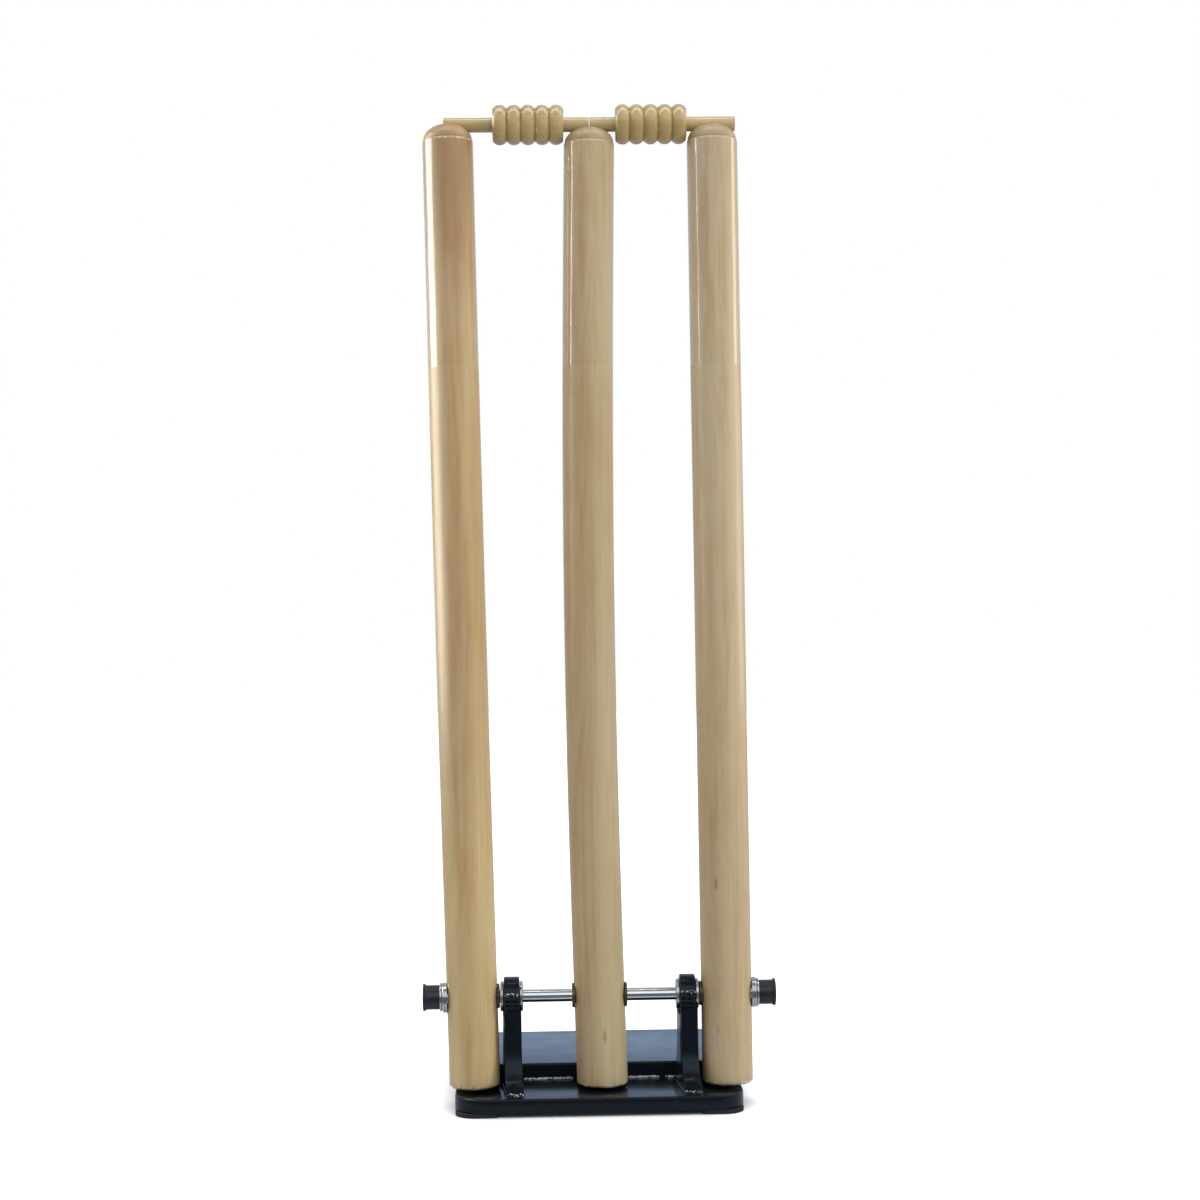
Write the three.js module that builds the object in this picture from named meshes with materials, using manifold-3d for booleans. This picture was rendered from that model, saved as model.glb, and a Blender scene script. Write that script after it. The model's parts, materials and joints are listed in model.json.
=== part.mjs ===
// Spring-back cricket stumps on a weighted steel stand.
// Lengths are in millimetres: X to the right, Y to the back, Z up, with the origin on the ground.
// Three wooden stumps hang on one cross axle, just clear of the base plate. A curved rest behind each stump's
// foot holds it upright, and an extension spring pulls the foot back against that rest after a hit.
import * as THREE from "three";
import { mergeVertices } from "three/addons/utils/BufferGeometryUtils.js";
import Module from "manifold-3d";

const wasm = await Module();
wasm.setup();

// Fits that every piece shares.
const seatGap = 0.3; // between two pieces that rest on or in each other
const cutOverrun = 3; // how far a cutting shape runs past the piece it cuts

// Stumps.
const stumpLength = 760;
const stumpDiameter = 40;
const stumpSpacing = 100.5; // between two neighbouring stumps, at the axle
const domeHeight = 13.2;
const shoulderStep = 0.7; // the dome starts this much inside the barrel
const footChamfer = 2;
const axleAboveFoot = 70; // from a stump's bottom end to the axle
const stumpFaces = 32;
const roundFaces = 24;
const bushFaces = 20;
// How far each stump leans to the left in the play of its bushes, and how far it is bowed that way.
const stumpLean = { left: 1, middle: 0.12, right: 0.27 }; // degrees
const stumpBow = { left: 0.8, middle: 5.3, right: 0 };
const stumpShort = { left: 0, middle: 3, right: 1 }; // how much shorter than the full length each one is cut

// Bails.
const spigotDiameter = 11.5;
const longSpigot = 39;
const beadDiameter = 31.4;
const beadGroove = 2.8; // depth of the hollow between two beads
const beadCount = 5;
const beadPower = 2.3; // 2 gives a parabola, and more gives a flatter crest
const spigotChamfer = 0.8;
const bailDrop = 1; // the bail's axis lies this far below the dome's crown
const bailSideGap = 0.7; // between a bail's barrel and the stumps beside it
const bailMeetGap = 0.4; // half the gap between the two bails
const bailFaces = 18;

// Base plate, feet and ballast plate.
const plateMargin = 12.5; // from an outer stump's middle to the plate's side edge
const plateOffset = -1.4; // how far the plates sit to the side of the middle stump
const baseDepth = 212;
const basePlate = 11.5;
const baseCorner = 25;
const edgeRound = 1.5;
const footHeight = 3;
const footPad = 33;
const footInnerRound = 3;
const footInset = 0.5;
const ballastPlate = 12.7;
const ballastFrontCorner = 3;
const frontOverhang = 40; // from the plate's front edge to the line of the stumps
const stumpLift = 3; // from the base plate up to the stumps' bottoms

// Axle and its ends.
const axleDiameter = 10;
const capLength = 13;
const capDiameter = 19.2;
const capRimDiameter = 21.4;
const capRimLength = 1.4;
const capFlare = 1.2;
const capWall = 4;
const capFaceDish = 0.6;
const endWasher = 1.6;
const endWasherDiameter = 22.4;
const bushPlay = 0.3; // radial play of a stump's bush on the axle, before the lean is allowed for

// Bushes: each has a barrel that sits in a bore and a flange outside it.
const stumpBushBarrel = 13.6; // diameter
const stumpBushDepth = 14;
const stumpFlange = 2.4;
const stumpFlangeDiameter = 19.2;
const spotFace = 0.75; // depth of the flat cut into a stump's round side
const endFlange = 4.2;
const endFlangeDiameter = 23.6;
const flangeBevel = 0.7;
const endFlangeBevel = 1.3;
const bracketFlange = 2.7;
const bracketFlangeDiameter = 23.4;
const bracketBushBarrel = 15.4; // diameter

// Brackets.
const ringDiameter = 30.4;
const ringWidth = 12.4;
const ringBevel = 1.3;
const bracketPlate = 13.4;
const bracketNeck = 26; // from front to back, just under the ring
const bracketFootSetback = 12; // from the plate's front edge
const bracketSkew = 4.4; // degrees that each bracket's plate is turned, with its front end to the right
const bracketFootEdge = 7; // height of the upright edge at the foot
const bracketNeckDrop = 30; // from the axle down to where the neck starts to widen
const bracketRingBed = 8; // from the axle down to the neck's upper corners

// Rests behind the stumps.
const restWall = 1.6;
const restHeight = 45; // above the stumps' bottoms
const restSpread = 116; // degrees of a circle that each one covers
const restToBallast = 11;
const restFaces = 12;

// Return springs, staples and anchor tabs.
const springWire = 2;
const springDiameter = 14; // outside
const springPitch = 2.8;
const springCurls = 20;
const curlSteps = 8;
const wireSides = 5;
const hookNeck = 1.5; // between the last curl and the hook's round
const springLift = 7.3; // between the ballast plate and the coil
const springSideGap = 1.25; // beside the spring and its staple in the slot of the rest
const springDip = 7; // room under the spring in that slot, because a stretched spring slopes down
const stapleWire = 3.5;
const stapleSpan = 14; // between its two legs
const stapleBend = 3.2;
const stapleDepth = 14; // how far its legs go into the wood
const hookToWood = 1.4; // between the hook and the stump's back
const stapleSides = 8;
const stapleSteps = 22;
const tabWidth = 20;
const tabPlate = 3;
const tabStrip = 4; // height of the strip that the hook holds
const tabHole = 8; // diameter
const tabCorner = 4;

// Places that follow from the sizes.
const stumpRadius = stumpDiameter / 2;
const baseWidth = 2 * (stumpSpacing + plateMargin);
const plateTop = footHeight + basePlate;
const stumpFootZ = plateTop + stumpLift;
const axleZ = stumpFootZ + axleAboveFoot;
const stumpLineY = frontOverhang - baseDepth / 2;
const ballastTop = plateTop + ballastPlate;
const sides = { left: -1, middle: 0, right: 1 };
const leanOf = (side) => THREE.MathUtils.degToRad(stumpLean[side]);
const leanMost = Math.max(...Object.keys(sides).map(leanOf));
const bushReach = stumpRadius - spotFace + endFlange;
const stumpBushBore = axleDiameter + 2 * (bushPlay + bushReach * Math.tan(leanMost));
const bracketBushBore = axleDiameter + 2 * seatGap;
const flangeSeat = stumpRadius - spotFace; // from a stump's axis to its flat side
const bracketX = stumpSpacing - flangeSeat - stumpFlange - bracketFlange - 2 * seatGap - ringWidth / 2;
const endWasherX = stumpSpacing + flangeSeat + endFlange + seatGap;
const capX = endWasherX + endWasher + seatGap;
const slopeOf = (side) => leanOf(side) + (Math.PI * stumpBow[side]) / stumpLength; // of a stump's foot
const restRadiusOf = (side) => stumpRadius + seatGap + (restHeight / 2) * Math.tan(slopeOf(side));
const restReach = Math.max(...Object.keys(sides).map(restRadiusOf)) + restWall;
const ballastFrontY = stumpLineY + restReach + restToBallast;
const springRadius = (springDiameter - springWire) / 2; // to the middle of the wire
const springZ = ballastTop + springLift + springDiameter / 2;
const springDrop = axleZ - springZ;
const hookCentre = stumpRadius + hookToWood + springWire / 2 + springRadius; // behind the stumps' line
const stapleBar = hookCentre - springRadius + springWire / 2 + seatGap + stapleWire / 2;
const coilStart = hookCentre + springRadius + hookNeck;
const coilEnd = coilStart + springCurls * springPitch;
const rearHookCentre = coilEnd + hookNeck + springRadius;
const hookInside = springRadius - springWire / 2 - seatGap;
const tabBack = rearHookCentre + Math.sqrt(hookInside ** 2 - (tabStrip / 2) ** 2);
const crownToAxle = stumpLength - axleAboveFoot;
const bailAxis = crownToAxle - bailDrop; // above the axle, along the stump
const grooveWidth = spigotDiameter + 2 * seatGap;
const bowAngle = (Math.PI * axleAboveFoot) / stumpLength;
const bowAtAxle = (side) => stumpBow[side] * Math.sin(bowAngle);
const crownX = (side) => sides[side] * stumpSpacing - bailAxis * Math.sin(leanOf(side)) + bowAtAxle(side);
const barrelLength = crownX("right") - crownX("middle") - stumpDiameter - 2 * bailSideGap;

// Finishes.
const finish = (color, roughness, metalness) => () =>
  new THREE.MeshStandardMaterial({ color, roughness, metalness });
const wood = finish(0xd3b98c, 0.45, 0);
const turnedWood = finish(0xcdb98a, 0.5, 0);
const blackPaint = finish(0x14181c, 0.25, 0.1);
const chrome = finish(0xd8dadc, 0.12, 1);
const zinc = finish(0xb9bec4, 0.3, 1);
const darkSteel = finish(0x4a4238, 0.5, 0.8);
const springSteel = finish(0x8d9094, 0.35, 1);
const rubber = finish(0x101214, 0.85, 0);
const blackPlastic = finish(0x10151c, 0.4, 0);

// A geometry as a solid that can be joined and cut.
function solidOf(geometry) {
  const bare = geometry.clone();
  bare.deleteAttribute("normal");
  bare.deleteAttribute("uv");
  const merged = mergeVertices(bare, 1e-4);
  return new wasm.Manifold(
    new wasm.Mesh({
      numProp: 3,
      vertProperties: new Float32Array(merged.attributes.position.array),
      triVerts: new Uint32Array(merged.index.array),
    }),
  );
}

// The geometry of a joined or cut solid.
function geometryOf(solid) {
  const mesh = solid.getMesh();
  const geometry = new THREE.BufferGeometry();
  const places = new Float32Array(mesh.numVert * 3);
  for (let i = 0; i < mesh.numVert; i++) {
    places.set(mesh.vertProperties.subarray(i * mesh.numProp, i * mesh.numProp + 3), i * 3);
  }
  geometry.setAttribute("position", new THREE.BufferAttribute(places, 3));
  geometry.setIndex(new THREE.BufferAttribute(new Uint32Array(mesh.triVerts), 1));
  geometry.computeVertexNormals();
  return geometry;
}

// The first geometry with the others cut out of it.
function cut(geometry, ...tools) {
  const solid = tools.reduce((rest, tool) => rest.subtract(solidOf(tool)), solidOf(geometry));
  return geometryOf(solid);
}

// A named piece.
function piece(name, geometry, material) {
  const mesh = new THREE.Mesh(geometry, material());
  mesh.name = name;
  return mesh;
}

// A round shape turned about Z. Its outline is a list of [radius, height] from the bottom up.
function turned(outline, faces) {
  const points = outline.map(([radius, height]) => new THREE.Vector2(radius, height));
  return new THREE.LatheGeometry(points, faces).rotateX(Math.PI / 2);
}

// A round shape turned about X. Its outline is a list of [radius, place along X] from left to right.
function turnedAlongX(outline, faces) {
  return turned(outline, faces).rotateY(Math.PI / 2);
}

// A rod along X between two places.
function rodAlongX(diameter, from, to, faces) {
  return turnedAlongX([[0, from], [diameter / 2, from], [diameter / 2, to], [0, to]], faces);
}

// A plate with its own radius at the front corners and at the back corners, standing from z = bottom up.
function roundedPlate(left, right, front, back, bottom, thickness, frontRadius, backRadius, round) {
  const shape = new THREE.Shape();
  const [l, r, f, b] = [left + round, right - round, front + round, back - round];
  const [fr, br] = [frontRadius - round, backRadius - round];
  shape.moveTo(l + fr, f);
  shape.lineTo(r - fr, f);
  shape.absarc(r - fr, f + fr, fr, -Math.PI / 2, 0);
  shape.lineTo(r, b - br);
  shape.absarc(r - br, b - br, br, 0, Math.PI / 2);
  shape.lineTo(l + br, b);
  shape.absarc(l + br, b - br, br, Math.PI / 2, Math.PI);
  shape.lineTo(l, f + fr);
  shape.absarc(l + fr, f + fr, fr, Math.PI, 1.5 * Math.PI);
  const plate = new THREE.ExtrudeGeometry(shape, {
    depth: thickness - 2 * round,
    bevelEnabled: round > 0,
    bevelSize: round,
    bevelThickness: round,
    bevelSegments: 2,
    curveSegments: 6,
  });
  return plate.translate(0, 0, bottom + round);
}

// The heavy lower half of the stand: feet, base plate and ballast plate.
function makeBase() {
  const group = new THREE.Group();
  const halfDepth = baseDepth / 2;
  const [left, right] = [plateOffset - baseWidth / 2, plateOffset + baseWidth / 2];
  const base = roundedPlate(
    left,
    right,
    -halfDepth,
    halfDepth,
    footHeight,
    basePlate,
    baseCorner,
    baseCorner,
    edgeRound,
  );
  const ballast = roundedPlate(
    left,
    right,
    ballastFrontY,
    halfDepth,
    plateTop,
    ballastPlate,
    ballastFrontCorner,
    baseCorner,
    edgeRound,
  );
  group.add(piece("base_plate", base, blackPaint), piece("ballast_plate", ballast, blackPaint));
  for (const [row, toBack] of [["front", -1], ["rear", 1]]) {
    for (const [column, toRight] of [["left", -1], ["right", 1]]) {
      group.add(piece(`${row}_${column}_foot`, makeFoot(toRight, toBack), rubber));
    }
  }
  return group;
}

// A flat pad that follows the plate's rounded corner.
function makeFoot(toRight, toBack) {
  const [outer, inner] = [baseCorner - footInset, footInnerRound];
  const shape = new THREE.Shape();
  shape.moveTo(0, inner);
  shape.absarc(inner, inner, inner, Math.PI, 1.5 * Math.PI);
  shape.lineTo(footPad, 0);
  shape.lineTo(footPad, footPad - outer);
  shape.absarc(footPad - outer, footPad - outer, outer, 0, Math.PI / 2);
  shape.lineTo(0, footPad);
  const pad = new THREE.ExtrudeGeometry(shape, { depth: footHeight, bevelEnabled: false, curveSegments: 6 });
  const quarterTurns = { "1,1": 0, "-1,1": 1, "-1,-1": 2, "1,-1": 3 }[`${toRight},${toBack}`];
  const reach = footPad + footInset;
  pad.translate(-footPad / 2, -footPad / 2, 0);
  pad.rotateZ((quarterTurns * Math.PI) / 2);
  return pad.translate(
    plateOffset + toRight * (baseWidth / 2 - reach + footPad / 2),
    toBack * (baseDepth / 2 - reach + footPad / 2),
    0,
  );
}

// One bracket: an upright plate with a ring on its hollowed top, and a flanged bush in each side of the ring.
function makeBracket(side) {
  const group = new THREE.Group();
  group.position.set(sides[side] * bracketX, stumpLineY, axleZ);
  const [footZ, neck] = [plateTop - axleZ, bracketNeck / 2];
  const skew = THREE.MathUtils.degToRad(bracketSkew);
  const footFront = bracketFootSetback - frontOverhang;
  // The turned plate's rear corner stays clear of the ballast plate.
  const room = ballastFrontY - stumpLineY - seatGap - (bracketPlate / 2) * Math.sin(skew);
  const footBack = room / Math.cos(skew);
  const shape = new THREE.Shape();
  shape.moveTo(footFront, footZ);
  shape.lineTo(footBack, footZ);
  shape.lineTo(footBack, footZ + bracketFootEdge);
  shape.quadraticCurveTo(neck, footZ + 2 * bracketFootEdge, neck, -bracketNeckDrop);
  shape.lineTo(neck, -bracketRingBed);
  shape.lineTo(-neck, -bracketRingBed);
  shape.lineTo(-neck, -bracketNeckDrop);
  shape.quadraticCurveTo(-neck, footZ + 2 * bracketFootEdge, footFront, footZ + bracketFootEdge);
  const plate = new THREE.ExtrudeGeometry(shape, {
    depth: bracketPlate,
    bevelEnabled: false,
    curveSegments: 6,
  });
  plate.rotateX(Math.PI / 2).rotateZ(Math.PI / 2).translate(-bracketPlate / 2, 0, 0).rotateZ(skew);
  const bed = rodAlongX(ringDiameter + 2 * seatGap, -bracketPlate, bracketPlate, stumpFaces);
  group.add(piece(`${side}_bracket`, cut(plate, bed), blackPaint));
  group.add(piece(`${side}_bracket_ring`, makeRing(), blackPaint));
  for (const [place, direction] of [["inner", -sides[side]], ["outer", sides[side]]]) {
    const bush = makeBush(
      bracketBushBore,
      bracketBushBarrel,
      ringWidth / 2 - seatGap,
      bracketFlange - seatGap,
      bracketFlangeDiameter,
      flangeBevel,
      ringWidth / 2 + seatGap,
      direction,
    );
    group.add(piece(`${side}_bracket_${place}_bush`, bush, zinc));
  }
  return group;
}

// The round eye on top of a bracket, with bevelled edges.
function makeRing() {
  const [outer, inner, half] = [ringDiameter / 2, bracketBushBarrel / 2 + seatGap, ringWidth / 2];
  const outline = [
    [inner, -half],
    [outer - ringBevel, -half],
    [outer, -half + ringBevel],
    [outer, half - ringBevel],
    [outer - ringBevel, half],
    [inner, half],
    [inner, -half],
  ];
  return turnedAlongX(outline, stumpFaces);
}

// A flanged bush on the X axis. Its flange's inner face is at seat, on the side that direction (+1 or -1)
// names, and its barrel reaches depth inwards from there.
function makeBush(bore, barrel, depth, flange, flangeDiameter, bevel, seat, direction) {
  const [hole, sleeve, rim] = [bore / 2, barrel / 2, flangeDiameter / 2];
  const outline = [
    [hole, seat - depth],
    [sleeve, seat - depth],
    [sleeve, seat],
    [rim, seat],
    [rim, seat + flange - bevel],
    [rim - bevel, seat + flange],
    [hole, seat + flange],
    [hole, seat - depth],
  ];
  const bush = turnedAlongX(outline, bushFaces);
  return direction > 0 ? bush : bush.rotateZ(Math.PI);
}

// The cross axle with a washer and a cap on each end.
function makeAxle() {
  const group = new THREE.Group();
  group.position.set(0, stumpLineY, axleZ);
  const reach = capX + capLength - capWall - seatGap;
  group.add(piece("axle", rodAlongX(axleDiameter, -reach, reach, roundFaces), chrome));
  for (const [side, direction] of [["left", -1], ["right", 1]]) {
    const hole = axleDiameter / 2 + seatGap;
    const washer = [
      [hole, endWasherX],
      [endWasherDiameter / 2, endWasherX],
      [endWasherDiameter / 2, endWasherX + endWasher],
      [hole, endWasherX + endWasher],
      [hole, endWasherX],
    ];
    const [body, rim, end] = [capDiameter / 2, capRimDiameter / 2, capX + capLength];
    const cap = [
      [0, end - capWall],
      [hole, end - capWall],
      [hole, capX],
      [body, capX],
      [body, end - capRimLength - capFlare],
      [rim, end - capRimLength],
      [rim, end],
      [body, end],
      [body - capWall / 2, end - capFaceDish],
      [0, end - capFaceDish],
    ];
    const ends = [["axle_washer", washer, zinc], ["axle_cap", cap, blackPlastic]];
    for (const [name, outline, material] of ends) {
      const made = turnedAlongX(outline, roundFaces);
      group.add(piece(`${side}_${name}`, direction > 0 ? made : made.rotateZ(Math.PI), material));
    }
  }
  return group;
}

// The outline of a stump from its foot to its crown, with the axle's height as zero. Extra rings let it bow.
function stumpOutline(side) {
  const [bowed, foot, crown] = [stumpBow[side] > 0, -axleAboveFoot, crownToAxle - stumpShort[side]];
  const shoulder = crown - domeHeight;
  const outline = [[0, foot], [stumpRadius - footChamfer, foot], [stumpRadius, foot + footChamfer]];
  const ringShares = bowed ? [0.12, 0.24, 0.37, 0.5, 0.63, 0.76, 0.88] : [];
  ringShares.forEach((share) => outline.push([stumpRadius, foot + share * stumpLength]));
  outline.push([stumpRadius, shoulder - shoulderStep], [stumpRadius - shoulderStep, shoulder]);
  const domeSteps = 5;
  for (let i = 1; i <= domeSteps; i++) {
    const angle = (i / domeSteps) * (Math.PI / 2);
    const radius = i === domeSteps ? 0 : (stumpRadius - shoulderStep) * Math.cos(angle);
    outline.push([radius, shoulder + (crown - shoulder) * Math.sin(angle)]);
  }
  return outline;
}

// A stump bent sideways along a half sine wave between its foot and its crown.
function bendStump(geometry, bow) {
  const place = geometry.attributes.position;
  for (let i = 0; i < place.count; i++) {
    const share = (place.getZ(i) + axleAboveFoot) / stumpLength;
    const half = Math.sin(Math.PI * THREE.MathUtils.clamp(share, 0, 1));
    place.setX(i, place.getX(i) - bow * half);
  }
  return geometry;
}

// How far a bowed stump's middle line lies to the right of where it crosses the axle, at a distance below it.
function bowShift(side, below) {
  const angle = (Math.PI * (axleAboveFoot - below)) / stumpLength;
  return bowAtAxle(side) - stumpBow[side] * Math.sin(angle);
}

// The slot across the crown that a bail's spigot lies in: round below and open above.
function grooveCutter(lean) {
  const half = grooveWidth / 2;
  const reach = stumpRadius + cutOverrun;
  const shape = new THREE.Shape();
  shape.moveTo(half, domeHeight);
  shape.lineTo(-half, domeHeight);
  shape.lineTo(-half, 0);
  shape.absarc(0, 0, half, Math.PI, 2 * Math.PI);
  const cutter = new THREE.ExtrudeGeometry(shape, {
    depth: 2 * reach,
    bevelEnabled: false,
    curveSegments: 5,
  });
  cutter.rotateX(Math.PI / 2).rotateZ(Math.PI / 2).translate(-reach, 0, 0);
  return cutter.rotateY(lean).translate(0, 0, bailAxis);
}

// A bent wire through three straight runs: two legs along Y that end in the wood, and the bar between them.
function makeStaple() {
  const [leg, end, bar] = [stapleSpan / 2, stumpRadius - stapleDepth, stapleBar];
  const route = new THREE.CurvePath();
  const at = (x, y) => new THREE.Vector3(x, y, 0);
  const straight = (from, to) => route.add(new THREE.LineCurve3(from, to));
  const bend = (from, corner, to) => route.add(new THREE.QuadraticBezierCurve3(from, corner, to));
  straight(at(-leg, end), at(-leg, bar - stapleBend));
  bend(at(-leg, bar - stapleBend), at(-leg, bar), at(-leg + stapleBend, bar));
  straight(at(-leg + stapleBend, bar), at(leg - stapleBend, bar));
  bend(at(leg - stapleBend, bar), at(leg, bar), at(leg, bar - stapleBend));
  straight(at(leg, bar - stapleBend), at(leg, end));
  return tube(route, stapleWire, stapleSides, stapleSteps).translate(0, 0, -springDrop);
}

// A closed tube of a round wire with few sides along a curve.
function tube(route, diameter, faces, steps) {
  const section = new THREE.Shape();
  for (let i = 0; i < faces; i++) {
    const angle = (i / faces) * 2 * Math.PI;
    const [x, y] = [(diameter / 2) * Math.cos(angle), (diameter / 2) * Math.sin(angle)];
    if (i === 0) section.moveTo(x, y);
    else section.lineTo(x, y);
  }
  return new THREE.ExtrudeGeometry(section, { steps, bevelEnabled: false, extrudePath: route });
}

// One stump with its bushes and its staple, turned about the axle by its lean.
function makeStump(side) {
  const group = new THREE.Group();
  group.position.set(sides[side] * stumpSpacing, stumpLineY, axleZ);
  group.rotation.y = -leanOf(side);
  const whole = turned(stumpOutline(side), stumpFaces);
  const body = bendStump(whole, stumpBow[side]).translate(bowAtAxle(side), 0, 0);
  const reach = stumpRadius + cutOverrun;
  const bore = rodAlongX(stumpBushBarrel + 2 * seatGap, -reach, reach, bushFaces);
  const tools = [bore, grooveCutter(leanOf(side)).translate(bowAtAxle(side), 0, 0)];
  for (const direction of [-1, 1]) {
    const wide = direction === sides[side] ? endFlangeDiameter : stumpFlangeDiameter;
    const [near, far] = [direction * flangeSeat, direction * reach];
    tools.push(rodAlongX(wide + 2 * seatGap, Math.min(near, far), Math.max(near, far), roundFaces));
    const leg = new THREE.CylinderGeometry(
      stapleWire / 2 + seatGap,
      stapleWire / 2 + seatGap,
      stapleDepth + cutOverrun,
      stapleSides,
    );
    const middle = stumpRadius - stapleDepth - seatGap + (stapleDepth + cutOverrun) / 2;
    const legX = bowShift(side, springDrop) + direction * (stapleSpan / 2);
    tools.push(leg.translate(legX, middle, -springDrop));
  }
  group.add(piece(`${side}_stump`, cut(body, ...tools), wood));
  for (const direction of [-1, 1]) {
    const outside = direction === sides[side];
    const bush = makeBush(
      stumpBushBore,
      stumpBushBarrel,
      stumpBushDepth,
      (outside ? endFlange : stumpFlange) - seatGap,
      outside ? endFlangeDiameter : stumpFlangeDiameter,
      outside ? endFlangeBevel : flangeBevel,
      flangeSeat + seatGap,
      direction,
    );
    const name = `${side}_stump_${direction < 0 ? "left" : "right"}_bush`;
    group.add(piece(name, bush, outside ? zinc : darkSteel));
  }
  const staple = makeStaple().translate(bowShift(side, springDrop), 0, 0);
  group.add(piece(`${side}_spring_staple`, staple, zinc));
  return group;
}

// How far a stump's lean and bow move its middle line to the right at a distance below the axle.
function middleShift(side, below) {
  return below * Math.sin(leanOf(side)) + bowShift(side, below) * Math.cos(leanOf(side));
}

// The curved strip behind a stump's foot, slotted at the back for the spring.
function makeRest(side) {
  const [inner, outer] = [restRadiusOf(side), restRadiusOf(side) + restWall];
  const shape = new THREE.Shape();
  const half = THREE.MathUtils.degToRad(restSpread / 2);
  const [start, end] = [Math.PI / 2 - half, Math.PI / 2 + half];
  shape.absarc(0, 0, outer, start, end);
  shape.absarc(0, 0, inner, end, start, true);
  const height = stumpFootZ + restHeight - plateTop;
  const strip = new THREE.ExtrudeGeometry(shape, {
    depth: height,
    bevelEnabled: false,
    curveSegments: restFaces,
  });
  const slotHalf = (stapleSpan + stapleWire) / 2 + springSideGap;
  const slotBottom = springZ - plateTop - springDiameter / 2 - springDip;
  const slot = new THREE.BoxGeometry(2 * slotHalf, outer, height);
  slot.translate(0, outer, slotBottom + height / 2);
  const middle = axleZ - stumpFootZ - restHeight / 2;
  const rest = piece(`${side}_stump_rest`, cut(strip, slot), blackPaint);
  rest.position.set(sides[side] * stumpSpacing + middleShift(side, middle), stumpLineY, plateTop);
  return rest;
}

// The middle line of a return spring along +Y: an upright hook, the curls, and the same hook turned over.
function springRoute() {
  const points = [];
  const hookTurn = THREE.MathUtils.degToRad(235);
  const hookSteps = 8;
  const hook = (centre, angle, forward) =>
    new THREE.Vector3(0, centre - forward * springRadius * Math.sin(angle), springRadius * Math.cos(angle));
  // The curls start and end a little way before the top, where the wire turns into the hook's upright plane.
  const leadAngle = THREE.MathUtils.degToRad(50);
  const neckSideShare = 0.22;
  const neckHeightShare = 0.96;
  const neckReachShare = 0.45;
  const hookStart = THREE.MathUtils.degToRad(-32);
  const hooked = (centre, coil, forward) => {
    const run = [];
    for (let i = 0; i <= hookSteps; i++) {
      run.push(hook(centre, hookStart + ((hookTurn - hookStart) * i) / hookSteps, forward));
    }
    const last = run[hookSteps].clone();
    const before = run[hookSteps - 1];
    run.push(last.clone().add(last.clone().sub(before).setLength(springWire)));
    const sideways = forward * springRadius * neckSideShare;
    const neckY = coil - forward * (hookNeck + springRadius * (1 - Math.sin(-hookStart))) * neckReachShare;
    run.unshift(new THREE.Vector3(sideways, neckY, springRadius * neckHeightShare));
    return run;
  };
  const front = hooked(hookCentre, coilStart, 1).reverse();
  const rear = hooked(rearHookCentre, coilEnd, -1);
  points.push(...front);
  const [first, last] = [leadAngle, 2 * Math.PI * springCurls - leadAngle];
  const steps = springCurls * curlSteps;
  for (let i = 0; i <= steps; i++) {
    const angle = first + ((last - first) * i) / steps;
    const along = coilStart + (springPitch * angle) / (2 * Math.PI);
    points.push(new THREE.Vector3(springRadius * Math.sin(angle), along, springRadius * Math.cos(angle)));
  }
  points.push(...rear);
  return new THREE.CatmullRomCurve3(points, false, "centripetal");
}

// The least gap between stretches of a wire that aren't neighbours along it, measured on points of its
// middle line.
function leastGap(route, diameter, samples) {
  const points = route.getSpacedPoints(samples);
  const step = route.getLength() / samples;
  const apart = Math.ceil((4 * diameter) / step);
  let least = Infinity;
  for (let i = 0; i < points.length; i++) {
    for (let j = i + apart; j < points.length; j++) {
      least = Math.min(least, points[i].distanceTo(points[j]));
    }
  }
  return least - diameter;
}

// The return springs, all of one shape, and the tabs that hold their rear hooks.
function makeSprings() {
  const group = new THREE.Group();
  const route = springRoute();
  const steps = Math.round(route.getLength() / ((2 * Math.PI * springRadius) / curlSteps));
  console.log(`return spring: least gap to itself ${leastGap(route, springWire, 4 * steps).toFixed(2)} mm`);
  for (const side of Object.keys(sides)) {
    const x = sides[side] * stumpSpacing + middleShift(side, springDrop);
    const spring = piece(`${side}_spring`, tube(route, springWire, wireSides, steps), springSteel);
    spring.position.set(x, stumpLineY, springZ);
    const tab = piece(`${side}_spring_tab`, makeTab(), blackPaint);
    tab.position.set(x, stumpLineY + tabBack, springZ);
    group.add(spring, tab);
  }
  return group;
}

// An upright tab with a hole. The hook goes through the hole and over the tab's top.
function makeTab() {
  const [half, top, bottom] = [tabWidth / 2, tabStrip / 2, ballastTop - springZ];
  const shape = new THREE.Shape();
  shape.moveTo(-half, bottom);
  shape.lineTo(half, bottom);
  shape.lineTo(half, top - tabCorner);
  shape.absarc(half - tabCorner, top - tabCorner, tabCorner, 0, Math.PI / 2);
  shape.lineTo(-half + tabCorner, top);
  shape.absarc(-half + tabCorner, top - tabCorner, tabCorner, Math.PI / 2, Math.PI);
  const hole = new THREE.Path();
  hole.absarc(0, -tabStrip / 2 - tabHole / 2, tabHole / 2, 0, 2 * Math.PI, true);
  shape.holes.push(hole);
  const tab = new THREE.ExtrudeGeometry(shape, { depth: tabPlate, bevelEnabled: false, curveSegments: 6 });
  return tab.rotateX(Math.PI / 2);
}

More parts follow.
